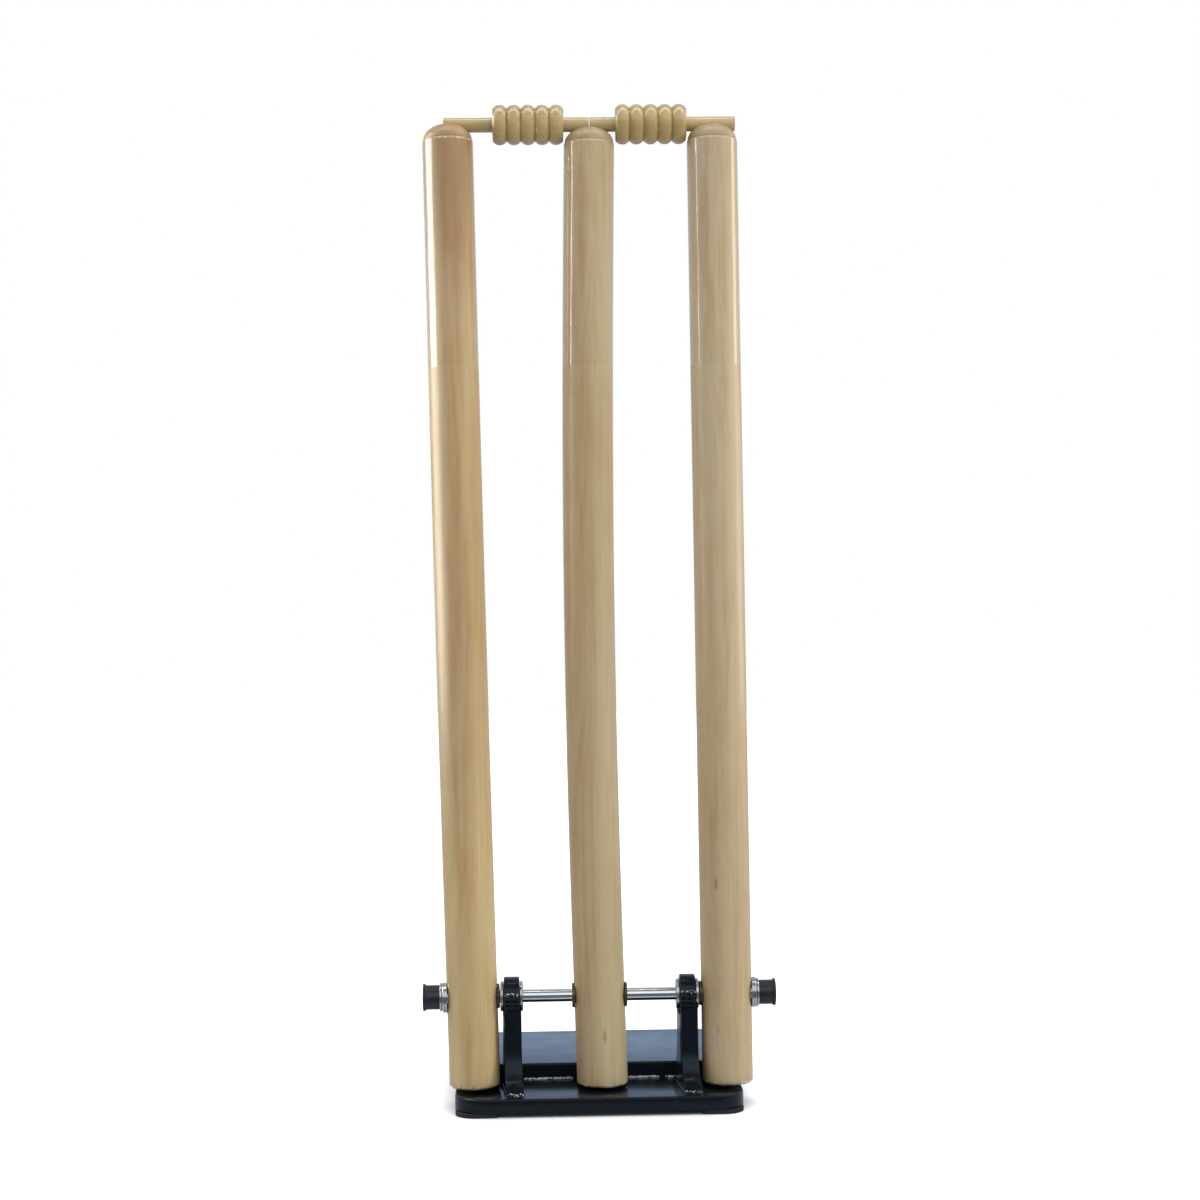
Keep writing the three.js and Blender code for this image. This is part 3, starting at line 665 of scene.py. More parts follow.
def film_haze(tree, place, inside, colour):
    """A pale haze in soft streaks, and amber between the streaks, fading in over the film's lowest 6
    cm."""
    height = split_axes(tree, place)[2]
    middle = times(tree, inside, span(tree, height, FILM_LOW, FILM_LOW + HAZE_FADE))
    soft = drawn_noise(tree, place, (150, 150, 11))
    haze = times(tree, middle, span(tree, soft, 0.35, 0.7, 0.0, 0.16))
    colour = blended(tree, haze, colour, (0.66, 0.56, 0.41, 1))
    amber = times(tree, middle, span(tree, soft, 0.48, 0.32, 0.0, 0.30))
    return blended(tree, amber, colour, (0.46, 0.27, 0.11, 1))


print("film starts", round((FILM_LOW - FOOT_Z) / MM, 1), "mm above the foot")

# %% [markdown]
# ### Marks on the foot
#
# The lowest few millimetres of a stump are grubby, and at the very edge the lacquer has chipped off and
# pale wood shows. A second material on the lowest faces would end in a straight line. A fade by height,
# broken up by noise, ends where dirt would, and one noise value puts the dirt and the chips side by
# side.

# %% Dirt and chips
DIRT_TOP = FOOT_Z + 0.007
CHIPS_FULL, CHIPS_TOP = FOOT_Z + 0.001, FOOT_Z + 0.004


def foot_marks(tree, place, colour):
    """Dirt on the lowest few millimetres, and pale wood where the lacquer has chipped off the very
    edge."""
    height = split_axes(tree, place)[2]
    patches = noise(tree, place, 240.0)
    dirt = times(tree, span(tree, height, FOOT_Z, DIRT_TOP, 1.0, 0.0), span(tree, patches, 0.42, 0.62))
    colour = blended(tree, times(tree, dirt, 0.5), colour, (0.22, 0.15, 0.09, 1))
    at_edge = span(tree, height, CHIPS_FULL, CHIPS_TOP, 1.0, 0.0)
    chipped = times(tree, at_edge, span(tree, patches, 0.50, 0.44))
    return blended(tree, times(tree, chipped, 0.6), colour, (0.72, 0.62, 0.46, 1))


print("dirt reaches", round((DIRT_TOP - FOOT_Z) / MM, 1), "mm up the foot")

# %% [markdown]
# ### The finished stump material
#
# The recipe follows the maker's order: the log's colour first, then what film and dome do to it, the
# film's edges, and the dirt on top. Only the Principled BSDF and its coat stay outside the node groups,
# because the export reads the shader itself. Under the film the coat is nearly full and smooth, with
# soft wrinkles, and elsewhere it is thin and satin.

# %% The whole stump material


def stump_material(side):
    """Satin lacquered wood, with clear glossy film near the top."""
    look = STUMP_LOOKS[side]
    material, tree, shader, place = new_material(f"stump wood {side}")
    moved = moved_by(tree, place, (0.31 * SIDES[side] + 0.13, 0.27 * SIDES[side], 0.0))
    looks = {"Vector": moved, "Light": look["light"], "Dark": look["dark"], "Bands": 0.26}
    wood = grouped(tree, WOOD, looks)
    inside, lines, upper, domed = film_masks(tree, side, place)
    colour = log_colour(tree, side, look, place, moved, wood["Colour"])
    colour = film_haze(tree, place, inside, colour)
    colour = blended(tree, upper, colour, look["under film"], "MULTIPLY")
    colour = blended(tree, domed, colour, (0.76, 0.72, 0.66, 1), "MULTIPLY")
    colour = blended(tree, times(tree, lines, look["film edge"]), colour, (0.9, 0.88, 0.83, 1))
    wrinkles = drawn_noise(tree, place, (120, 120, 16), 2.0)
    coat = minus(tree, times(tree, inside, 0.72), times(tree, domed, 0.2))
    wired(tree, shader, {
        "Base Color": foot_marks(tree, place, colour),
        "Roughness": wood["Roughness"],
        "Normal": bump(tree, wood["Height"], 0.00012, 0.35),
        "Coat Weight": plus(tree, 0.28, coat),
        "Coat Roughness": minus(tree, 0.34, times(tree, inside, 0.29)),
        "Coat IOR": 1.5,
        "Coat Normal": bump(tree, wrinkles, 0.0006, 0.35),
    })
    return material


STUMP_WOOD = {side: stump_material(side) for side in SIDES}
for side, made in STUMP_WOOD.items():
    print(made.name, "has", len(made.node_tree.nodes), "nodes")

# %% [markdown]
# ## Bail wood
#
# A bail is turned from the same kind of wood, but it is creamier and varnished. Its beads are a warmer
# amber than the spigots, and deeper into the grooves between the beads the colour darkens further, as
# painted shade and amber bounce light. The grooves could be found by colour from the mesh's curvature,
# with Geometry's Pointiness, but that follows the fineness of the mesh. Here the shape cell stores in an
# attribute how deep in a groove each point lies, and the material reads it. A second attribute marks
# the cut ends, where the grain shows as dark rings.

# %% Bail material
BAIL_LIGHT, BAIL_DARK = (0.505, 0.396, 0.192, 1), (0.36, 0.255, 0.095, 1)
# The dark amber mixed in by groove depth is painted shade and amber bounce light in the grooves, and a
# warmer tone on the beads.
GROOVE_SHADE_AMBER, END_GRAIN = (0.36, 0.20, 0.036, 1), (0.42, 0.27, 0.12, 1)


def bail_material():
    """Creamy turned wood, warmer on the beads, with painted shade that deepens into the grooves. Its
    grain lies along X, and each bail reads another part of the block."""
    material, tree, shader, place = new_material("bail wood")
    chance = grow(tree, "ShaderNodeObjectInfo").outputs["Random"]
    laid = grow(tree, "ShaderNodeMapping", {"Vector": place, "Rotation": (0, math.pi / 2, 0)}).outputs[0]
    moved = moved_by(tree, laid, chance)
    wood = grouped(tree, WOOD, {"Vector": moved, "Light": BAIL_LIGHT, "Dark": BAIL_DARK, "Bands": 0.35})
    groove = grow(tree, "ShaderNodeAttribute", attribute_name="groove").outputs["Fac"]
    end = grow(tree, "ShaderNodeAttribute", attribute_name="end").outputs["Fac"]
    uneven = drawn_noise(tree, place, (60, 300, 300))
    # painted shade: darker amber deeper in each groove
    colour = blended(tree, times(tree, groove, span(tree, uneven, 0.25, 0.75, 0.45, 0.95)), wood["Colour"],
                     GROOVE_SHADE_AMBER)
    grain = span(tree, drawn_noise(tree, place, (10, 900, 900)), 0.3, 0.7, 0.1, 0.6)
    lathe_marks = drawn_noise(tree, place, (1500, 40, 40), 2.0)
    height = plus(tree, times(tree, wood["Height"], 0.6), times(tree, lathe_marks, 0.5))
    wired(tree, shader, {
        "Base Color": blended(tree, times(tree, end, grain), colour, END_GRAIN),
        "Roughness": wood["Roughness"],
        "Normal": bump(tree, height, 0.00010, 0.3),
        "Specular IOR Level": 0.3,
        "Coat Weight": 0.8,
        "Coat Roughness": 0.22,
    })
    return material


BAIL_WOOD = bail_material()
print(BAIL_WOOD.name, "has", len(BAIL_WOOD.node_tree.nodes), "nodes")

# %% [markdown]
# ## Black enamel
#
# The plates, the brackets and their rings are sprayed with gloss black enamel. Plain black would leave
# a hole in the picture, because real paint is never quite black: it mirrors the room, dust greys it,
# and the sprayed skin is slightly wavy, which breaks up what it mirrors. A painted texture could show
# that from one side only. Noise in a Bump node bends the reflections from every side, so the waves are
# made that way.

# %% Enamel material


def enamel_material():
    """Gloss black enamel: wavy like orange peel, with dust, and with a roughness that wanders
    slowly."""
    material, tree, shader, place = new_material("black enamel")
    wear = grouped(tree, WEAR, {"Vector": place, "Grain": 800.0})
    colour = blended(tree, wear["Dust"], (0.0042, 0.0065, 0.0100, 1), (0.10, 0.11, 0.12, 1))
    worn = span(tree, wear["Slow"], 0.35, 0.75, 0.0, 0.4)
    colour = blended(tree, worn, colour, (0.007, 0.010, 0.015, 1))
    peel = plus(tree, noise(tree, place, 300.0, 2.0), times(tree, wear["Fine"], 0.2))
    wired(tree, shader, {
        "Base Color": colour,
        "Roughness": span(tree, wear["Slow"], 0.3, 0.7, 0.17, 0.24),
        "Specular IOR Level": 0.3,
        "Specular Tint": (0.72, 0.86, 1.0, 1),
        "Normal": bump(tree, peel, 0.00005, 0.3),
    })
    return material


ENAMEL = enamel_material()
print(ENAMEL.name, "has", len(ENAMEL.node_tree.nodes), "nodes")

# %% [markdown]
# ## Painted and worn welds, with painted glints
#
# The weld beads went under the same spray, but paint doesn't hold on the crests of the ripples, and
# there bright steel shows as small specks. The specks are pale lavender and barely metallic, so they are
# painted glints on the ripples as well as bare steel. The specks could be a second material on chosen
# faces, with hard borders. Here one noise value does two jobs: it lifts the surface into lumps, and
# where it is high it also takes the paint away, so the specks always sit on the lumps. The bead under
# the ballast plate's edge is worn most and has the most painted glints.

# %% Weld material


def weld_material(name, least, most):
    """Weld beads under thin black paint, which is gone where the lumps are higher than `least` to
    `most`. There the pale specks are painted glints as well as bare steel."""
    material, tree, shader, place = new_material(name)
    wear = grouped(tree, WEAR, {"Vector": place, "Grain": 1500.0})
    lumps = noise(tree, place, 650.0, 3.0, 0.6)
    bare_and_glint = span(tree, lumps, least, most)
    height = plus(tree, lumps, times(tree, wear["Fine"], 0.3))
    wired(tree, shader, {
        # painted highlight: the pale lavender specks stand for glints on the ripples as well as bare steel
        "Base Color": blended(tree, bare_and_glint, (0.008, 0.010, 0.014, 1), (0.70, 0.68, 0.78, 1)),
        "Metallic": times(tree, bare_and_glint, 0.2),
        "Roughness": span(tree, wear["Slow"], 0.3, 0.7, 0.16, 0.3),
        "Normal": bump(tree, height, 0.0009, 0.8),
    })
    return material


ENAMEL_WELD_WITH_GLINTS = weld_material("painted weld", 0.54, 0.61)
WORN_WELD_WITH_GLINTS = weld_material("worn weld", 0.40, 0.50)
print("welds:", ENAMEL_WELD_WITH_GLINTS.name, "and", WORN_WELD_WITH_GLINTS.name)

# %% [markdown]
# ## Bare metals
#
# The axle is chromed, the big bushes and the staples are zinc plated, the small bushes are plain dark
# steel, and the springs are drawn wire. These finishes could be four separate materials, but they
# differ only in colour, roughness, the strength of a fine grain, and how far they have tarnished. So
# one recipe makes all four from those values, and a change to the recipe reaches them all.

# %% Metal materials


def metal_material(name, colour, rough, grain, strength, tarnish):
    """Metal with a fine grain, duller patches where it has tarnished, and dust in a few specks."""
    material, tree, shader, place = new_material(name)
    wear = grouped(tree, WEAR, {"Vector": place, "Grain": grain})
    patches = span(tree, wear["Slow"], 0.4, 0.7, 0.0, tarnish)
    dull = tuple(0.45 * c for c in colour[:3]) + (1,)
    shade = blended(tree, patches, colour, dull)
    wired(tree, shader, {
        "Base Color": blended(tree, times(tree, wear["Dust"], 0.5), shade, (0.03, 0.03, 0.03, 1)),
        "Metallic": 1.0,
        "Roughness": plus(tree, rough, times(tree, patches, 0.3)),
        "Normal": bump(tree, wear["Fine"], 0.0001, strength),
    })
    return material


CHROME = metal_material("chrome", (0.83, 0.85, 0.87, 1), 0.11, 500.0, 0.015, 0.04)
ZINC = metal_material("bright zinc", (0.60, 0.62, 0.66, 1), 0.24, 1400.0, 0.04, 0.3)
DARK_STEEL = metal_material("dark steel", (0.16, 0.13, 0.10, 1), 0.42, 1100.0, 0.4, 0.5)
SPRING_STEEL = metal_material("spring wire", (0.46, 0.47, 0.49, 1), 0.3, 1600.0, 0.25, 0.35)
print("metals:", ", ".join(made.name for made in (CHROME, ZINC, DARK_STEEL, SPRING_STEEL)))

# %% [markdown]
# ## Rubber and plastic
#
# The feet are rubber and the axle's caps are a harder black plastic. Both come out of a mould, so both
# have the mould's fine grain and no tarnish. A dark colour alone would make them look like the enamel
# beside them. What tells them apart is the shine, so each gets its own roughness, and dust stands out
# on both.

# %% Moulded materials


def moulded_material(name, colour, rough, grain):
    """Rubber or plastic with a moulded grain and dust."""
    material, tree, shader, place = new_material(name)
    wear = grouped(tree, WEAR, {"Vector": place, "Grain": grain})
    wired(tree, shader, {
        "Base Color": blended(tree, wear["Dust"], colour, (0.2, 0.2, 0.2, 1)),
        "Roughness": span(tree, wear["Slow"], 0.3, 0.7, rough - 0.08, rough + 0.08),
        "Normal": bump(tree, wear["Fine"], 0.00015, 0.4),
    })
    return material


RUBBER = moulded_material("rubber", (0.014, 0.015, 0.017, 1), 0.8, 1600.0)
PLASTIC = moulded_material("black plastic", (0.012, 0.016, 0.024, 1), 0.36, 1200.0)
print(len(bpy.data.materials), "materials,", len(bpy.data.node_groups), "node groups")

# %% [markdown]
# ## Placing a piece
#
# On the real set a bush moves with its stump and a cap stays with the axle. In the frame, too, each CAD
# node belongs to a body, and the bodies move on the joints. A new piece could be parented to a body by
# hand. Here `place` takes the body of the CAD node that the piece stands for, and hides that node.

# %% Dressing and placing
BODY_OF = {node: body for body, nodes in frame["record"]["behaviour"]["bodies"].items() for node in nodes}


def dress(piece, material):
    """Gives a piece one material."""
    piece.data.materials.clear()
    piece.data.materials.append(material)
    return piece


def place(piece, material, node):
    """Dresses a piece, hides the CAD node that it stands for, and lets it ride on that node's body."""
    dress(piece, material)
    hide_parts(node)
    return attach(piece, BODY_OF[node])


# %% [markdown]
# ## Stumps
#
# A stump is turned on a lathe: a long round shaft with a slightly bevelled foot, a small step under the
# crown, and a low dome. It could be a cylinder with loop cuts scaled by eye. A computed outline keeps
# the step and the dome at their true sizes, and it lets two flaws of the real thing in. Turning isn't
# perfect, so the radius wanders by a few hundredths of a millimetre, and the foot's rim is a little
# ragged.

# %% Outline of a stump
FOOT_BEVEL = 1.6


def stump_outline(side):
    """[radius, height] from foot to crown: the bevelled foot, the straight shaft, the step in at the
    shoulder, and the dome, a quarter of an ellipse whose radius goes with the cosine and whose height
    goes with the sine of one angle."""
    shoulder = STUMP_LENGTH - SHORT[side] - DOME
    neck = STUMP_R - SHOULDER
    foot_corners = [[0, 0], [STUMP_R - FOOT_BEVEL, 0], [STUMP_R, FOOT_BEVEL], [STUMP_R, 5 * FOOT_BEVEL]]
    foot = rounded(foot_corners, [0, 0.7, 0.8, 0], 4)
    shaft = np.column_stack([np.full(92, STUMP_R), np.linspace(14, shoulder - 3, 92)])
    lip_corners = [[STUMP_R, shoulder - 2], [STUMP_R, shoulder - SHOULDER], [neck, shoulder],
                   [neck - 0.1, shoulder + 0.6]]
    lip = rounded(lip_corners, [0, 0.5, 0.3, 0], 4)
    t = np.linspace(0.06, np.pi / 2, 40)
    dome = np.column_stack([neck * np.cos(t), shoulder + DOME * np.sin(t)])
    dome[-1, 0] = 0.0
    return np.concatenate([foot, shaft, lip, dome])


print("a stump's outline has", len(stump_outline("left")), "points")

# %% Flaws of a turned stump
SHAFT_WANDER = 0.10
RIM_WANDER = 0.45


def uneven_rings(side, outline):
    """The turned rings, moved in and out by a ripple that is drawn out along the shaft. Near the rim of
    the foot they also move up and down by a finer ripple, which fades out over the lowest 2 mm."""
    rings = turned(outline, 144)
    wander = ripple(rings * [1, 1, 0.12], 3 + SIDES[side], 9.0) * SHAFT_WANDER
    outwards = rings[..., :2] / np.maximum(np.linalg.norm(rings[..., :2], axis=-1, keepdims=True), 1e-9)
    rings[..., :2] += outwards * np.where(outline[:, :1] > 1, wander, 0)[..., None]
    ragged = ripple(rings, 40 + SIDES[side], 1.6) * np.clip(1 - rings[..., 2] / 2.0, 0, 1)
    at_rim = np.linalg.norm(rings[..., :2], axis=-1) > STUMP_R - 2.5
    rings[..., 2] += np.where(at_rim, ragged * RIM_WANDER, 0)
    return rings


flawed = uneven_rings("left", stump_outline("left"))
print("the radius reaches", round(float(np.hypot(flawed[..., 0], flawed[..., 1]).max()), 3), "mm")

# %% [markdown]
# ### Cuts in a stump
#
# Three things are cut into the turned stump: a round-bottomed groove across the crown, in which the
# bails lie, a bore for the bushes, and a flat seat on each side so that the bushes' flanges sit square.
# The cuts could be built into the grid of rings, but a groove across a dome meets it in a curve that no
# ring follows. The exact boolean finds that curve by itself, and leaves the crisp edges that a cutter
# leaves in wood.

# %% Shapes that cut
BAIL_R = 5.75
BAIL_AXIS = 689.0
BAIL_Z = AXLE_Z + BAIL_AXIS * math.cos(math.radians(LEAN["left"]))
GROOVE_REACH = 30.0


def x_rod(name, centre, radius, start, end, lean):
    """A plain rod along X from `start` to `end`, turned about Y by `lean` at its centre."""
    rings = along_x(turned([[radius, start], [radius, end]], 64))
    return skin(name, leaned(rings, lean) + np.asarray(centre, float))


def groove_cutter(centre_x):
    """A trough along X: half a circle below the bails' axis, and straight up from its ends. Its radius
    is the bail's own and the gap between them."""
    half = BAIL_R + SEAT_GAP
    t = np.linspace(np.pi, 2 * np.pi, 33)
    bowl = np.column_stack([half * np.cos(t), half * np.sin(t)])
    section = np.concatenate([[[half, GROOVE_REACH], [-half, GROOVE_REACH]], bowl]) + [LINE_Y, BAIL_Z]
    ends = (centre_x - GROOVE_REACH, centre_x + GROOVE_REACH)
    rings = [np.column_stack([np.full(len(section), x), section]) for x in ends]
    return skin("groove cutter", np.array(rings))


print("the bails' axis is at", round(BAIL_Z, 2), "mm")

# %% The three stumps
FLAT = STUMP_R - 0.75
BORE_R = 7.1
THICK_SEAT_R, THIN_SEAT_R = 12.1, 9.9


def build_stump(side):
    """One stump: the uneven rings carried along its middle line and leaned with it, then cut."""
    lean = math.radians(LEAN[side])
    rings = uneven_rings(side, stump_outline(side))
    x, z = middle_line(side, rings[..., 2])
    across, deep = rings[..., 0], rings[..., 1]
    placed = np.stack([x + across * math.cos(lean), LINE_Y + deep, z + across * math.sin(lean)], -1)
    stump = skin(f"{side}_stump_wood", placed, sharp=28)
    centre = (SIDES[side] * SPACING, LINE_Y, AXLE_Z)
    middle_x = float(middle_line(side, STUMP_LENGTH - SHORT[side])[0])
    cutters = [groove_cutter(middle_x), x_rod("bore", centre, BORE_R, -25, 25, lean)]
    for direction in (-1, 1):
        seat = THICK_SEAT_R if direction == SIDES[side] else THIN_SEAT_R
        start, end = sorted((direction * FLAT, direction * 26))
        cutters.append(x_rod("seat", centre, seat, start, end, lean))
    carve(stump, *cutters)
    return place(stump, STUMP_WOOD[side], f"{side}_stump")


for side in SIDES:
    made = build_stump(side)
    print(made.name, len(made.data.polygons), "faces")

# %% [markdown]
# ## Bails
#
# A bail is a small turned stick: five beads on a barrel, with a short spigot at the middle stump and a
# long one at the outer stump. The spigots lie loose in the grooves. Five spheres on a rod would give
# beads that are too round, with no control of the valleys. On a lathe they are one profile, so here
# they are one outline, and each bead is a curve close to a parabola.

# %% Outline of a bail
BEADS = 5
BEAD_R = 15.7
BEAD_GROOVE = 2.8
BARREL_GAP = 0.7
OUTER_SIDES = (("left", -1), ("right", 1))


def crown_x(side):
    """World x of a stump's middle line at the bails' height."""
    bow = BOW[side] * math.sin(math.pi * BELOW_AXLE / STUMP_LENGTH)
    return SIDES[side] * SPACING - BAIL_AXIS * math.sin(math.radians(LEAN[side])) + bow


BARREL = crown_x("right") - crown_x("middle") - 2 * STUMP_R - 2 * BARREL_GAP
SHORT_SPIGOT, LONG_SPIGOT = STUMP_R + 0.3, 39.0


def bail_outline():
    """[radius, distance along the barrel]. At a share s of a bead, its height over the valley is the
    bead's height times 1 less |2 s - 1| to the power of 2.3. Square ends with fine fillets lead to the
    spigots."""
    valley, bead = BEAD_R - BEAD_GROOVE, BARREL / BEADS
    share = np.linspace(0, 1, 25)[:-1]
    lift = BEAD_GROOVE * (1 - np.abs(2 * share - 1) ** 2.3)
    beads = [np.column_stack([valley + lift, (i + share) * bead]) for i in range(BEADS)]
    tail, tip = -SHORT_SPIGOT, BARREL + LONG_SPIGOT
    start = [[0, tail], [BAIL_R, tail], [BAIL_R, -0.4], [BAIL_R + 0.5, 0], [valley - 1.2, 0]]
    end = [[valley - 1.2, BARREL], [BAIL_R + 0.5, BARREL], [BAIL_R, BARREL + 0.4], [BAIL_R, tip], [0, tip]]
    return np.concatenate([rounded(start, [0, 0.5, 0.3, 0.1, 0]), *beads, [[valley, BARREL]],
                           rounded(end, [0, 0.1, 0.3, 0.5, 0])])


print("barrel length", round(BARREL, 2), "mm,", len(bail_outline()), "points in the outline")

# %% Grooves and ends as attributes


def mark_bail(bail, direction):
    """Stores two attributes for each point of a bail, and counts its end points. `groove` is the share
    of the bead's height that is missing there, to the power of 2.2 and at least 0.36 on the barrel.
    `end` is 1 on the cut ends."""
    flat = np.empty(len(bail.data.vertices) * 3, np.float32)
    bail.data.vertices.foreach_get("co", flat)
    at = flat.reshape(-1, 3) / MM
    along = (at[:, 0] - crown_x("middle") - direction * (STUMP_R + BARREL_GAP)) * direction
    radius = np.hypot(at[:, 1] - LINE_Y, at[:, 2] - BAIL_Z)
    on_barrel = (along > -0.01) & (along < BARREL + 0.01)
    missing = np.clip((BEAD_R - radius) / BEAD_GROOVE, 0, 1)
    groove = np.where(on_barrel, np.maximum(missing ** 2.2, 0.36), 0.0)
    groove = np.where(on_barrel & (radius < BEAD_R - BEAD_GROOVE - 0.5), 0.3, groove)
    end = (along < 0.1 - SHORT_SPIGOT) | (along > BARREL + LONG_SPIGOT - 0.1)
    for name, values in (("groove", groove), ("end", end)):
        marks = bail.data.attributes.new(name, "FLOAT", "POINT").data
        marks.foreach_set("value", values.astype(np.float32))
    return int(end.sum())


print("tool ready:", mark_bail.__name__)

# %% The two bails


def build_bail(side, direction, seed):
    """One bail: its outline turned about X, a little out of round, from the middle stump outwards."""
    rings = along_x(turned(bail_outline()))
    rings[..., 1:] *= 1 + 0.006 * ripple(rings, seed, 12.0)[..., None]
    rings[..., 0] *= direction
    rings += [crown_x("middle") + direction * (STUMP_R + BARREL_GAP), LINE_Y, BAIL_Z]
    bail = skin(f"{side}_bail_wood", rings, sharp=40)
    print(bail.name, "has", mark_bail(bail, direction), "points on its ends")
    return place(bail, BAIL_WOOD, f"{side}_bail")


for side, direction in OUTER_SIDES:
    made = build_bail(side, direction, 5 + direction)
    print(made.name, len(made.data.polygons), "faces")

# %% [markdown]
# ## Axle, washers and caps
#
# One chromed rod runs through everything. Outside each outer stump come a thin washer and a black cap
# with a flared rim, which keeps the rod from sliding out. Each could be a cylinder with a Bevel
# modifier, but a bevel has one width for all edges. A turned outline whose corners have their own radii
# costs no more, and the tiny rounded edges are what catches the light.

# %% Turned pieces on the axle


def turned_on_axle(name, outline, radii, centre_x, direction, material, node, lean=0.0, closed=True,
                   around=96):
    """A piece turned about the axle. Outline corners are [radius, distance from the centre], and the
    piece points to the left or the right by its direction. A lean turns it about Y at its centre."""
    rings = along_x(turned(rounded(outline, radii, closed=closed), around))
    rings[..., 0] *= direction
    placed = leaned(rings, lean) + [centre_x, LINE_Y, AXLE_Z]
    return place(skin(name, placed, closed=closed, sharp=40), material, node)


print("tool ready:", turned_on_axle.__name__)

# %% The axle with its washers and caps
AXLE_R = 5
AXLE_HOLE = AXLE_R + SEAT_GAP
THICK_FLANGE = 4.2
WASHER_R, WASHER_W = 11.2, 1.6
WASHER_X = SPACING + FLAT + THICK_FLANGE + SEAT_GAP
CAP_X = WASHER_X + WASHER_W + SEAT_GAP
CAP_R, CAP_RIM_R = 9.6, 10.7
CAP_LENGTH, CAP_FLOOR, CAP_HOLLOW = 13, 4, 0.6
REACH = CAP_X + CAP_LENGTH - CAP_FLOOR - SEAT_GAP

rod_corners = [[0, -REACH], [AXLE_R, -REACH], [AXLE_R, REACH], [0, REACH]]
rod = along_x(turned(rounded(rod_corners, [0, 0.8, 0.8, 0])))
place(skin("axle_rod", rod + [0, LINE_Y, AXLE_Z]), CHROME, "axle")

for side, direction in OUTER_SIDES:
    near, far = WASHER_X, WASHER_X + WASHER_W
    washer = [[AXLE_HOLE, near], [WASHER_R, near], [WASHER_R, far], [AXLE_HOLE, far]]
    turned_on_axle(f"{side}_end_washer", washer, 0.35, 0, direction, ZINC, f"{side}_axle_washer")
    end = CAP_X + CAP_LENGTH
    floor, hollow = end - CAP_FLOOR, end - CAP_HOLLOW
    cap = [[0, floor], [AXLE_HOLE, floor], [AXLE_HOLE, CAP_X], [CAP_R, CAP_X], [CAP_R, end - 2.6],
           [CAP_RIM_R, end - 1.4], [CAP_RIM_R, end], [CAP_R, end], [CAP_R - 2, hollow], [0, hollow]]
    cap_radii = [0, 0.2, 0.3, 0.5, 0.8, 0.3, 0.35, 0.4, 0.5, 0]
    turned_on_axle(f"{side}_end_cap", cap, cap_radii, 0, direction, PLASTIC, f"{side}_axle_cap",
                   closed=False)
print("the axle reaches", round(REACH, 2), "mm to each side")

# %% [markdown]
# ## Bushes in the stumps
#
# Each stump turns on two bushes, sleeves with a flange that are pressed into its bore. The outer stumps
# have a thick bright flange on their outer side, with a fine groove round it, and the others are thin
# and dark. The six could be copies of one mesh, but they lean with their stumps and two of them have
# another section. So a loop draws each one from its own outline, and every hole is wide enough for the
# axle at the steepest lean.

# %% Six stump bushes
BUSH_BORE = AXLE_HOLE + (FLAT + THICK_FLANGE) * math.tan(math.radians(LEAN["left"]))
BUSH_R = 6.8
BUSH_DEPTH = 14
THIN_FLANGE = 2.4
THICK_FLANGE_R, THIN_FLANGE_R = 11.8, 9.6


def stump_bush(side, word, direction):
    """One bush: a sleeve inside the stump and a flange outside it, with a groove round the thick
    flange."""
    outer = direction == SIDES[side]
    seat = FLAT + SEAT_GAP
    rim, thick = (THICK_FLANGE_R, THICK_FLANGE) if outer else (THIN_FLANGE_R, THIN_FLANGE)
    far = seat + thick - SEAT_GAP
    sleeve = [[BUSH_BORE, seat - BUSH_DEPTH], [BUSH_R, seat - BUSH_DEPTH], [BUSH_R, seat], [rim, seat]]
    groove = [[rim, seat + 1.5], [rim - 0.5, seat + 1.75], [rim, seat + 2.0]] if outer else []
    outline = sleeve + groove + [[rim, far], [BUSH_BORE, far]]
    radii = [0.2, 0.3, 0.1, 0.4] + ([0.2, 0.2, 0.2, 1.3] if outer else [0.7]) + [0.4]
    name, finish = f"{side}_stump_{word}_bush", ZINC if outer else DARK_STEEL
    lean, centre_x = math.radians(LEAN[side]), SIDES[side] * SPACING
    return turned_on_axle(f"{name}_metal", outline, radii, centre_x, direction, finish, name, lean)


for side in SIDES:
    made = [stump_bush(side, "left", -1), stump_bush(side, "right", 1)]
    print(side, "stump:", ", ".join(f"{bush.name} in {bush.data.materials[0].name}" for bush in made))

# %% [markdown]
# ## Brackets
#
# Two flame-cut plates carry the axle. Each is broad at its foot, narrows in a hollow curve, and has a
# ring welded into its hollowed top. The plates stand a few degrees askew, as hand-welded ones do. A
# bracket could be drawn as a Bezier curve and extruded, but the ring's bed and the curves have to meet
# the ring at its exact radius. So the side view is written as an outline, and small insets at both
# faces make its rounded edges.

# %% Rings and their bushes
RING_R, RING_BORE, RING_W = 15.2, 8.0, 12.4
RING_FLANGE, RING_FLANGE_R = 2.7, 11.7
BRACKET_X = SPACING - FLAT - THIN_FLANGE - RING_FLANGE - 2 * SEAT_GAP - RING_W / 2


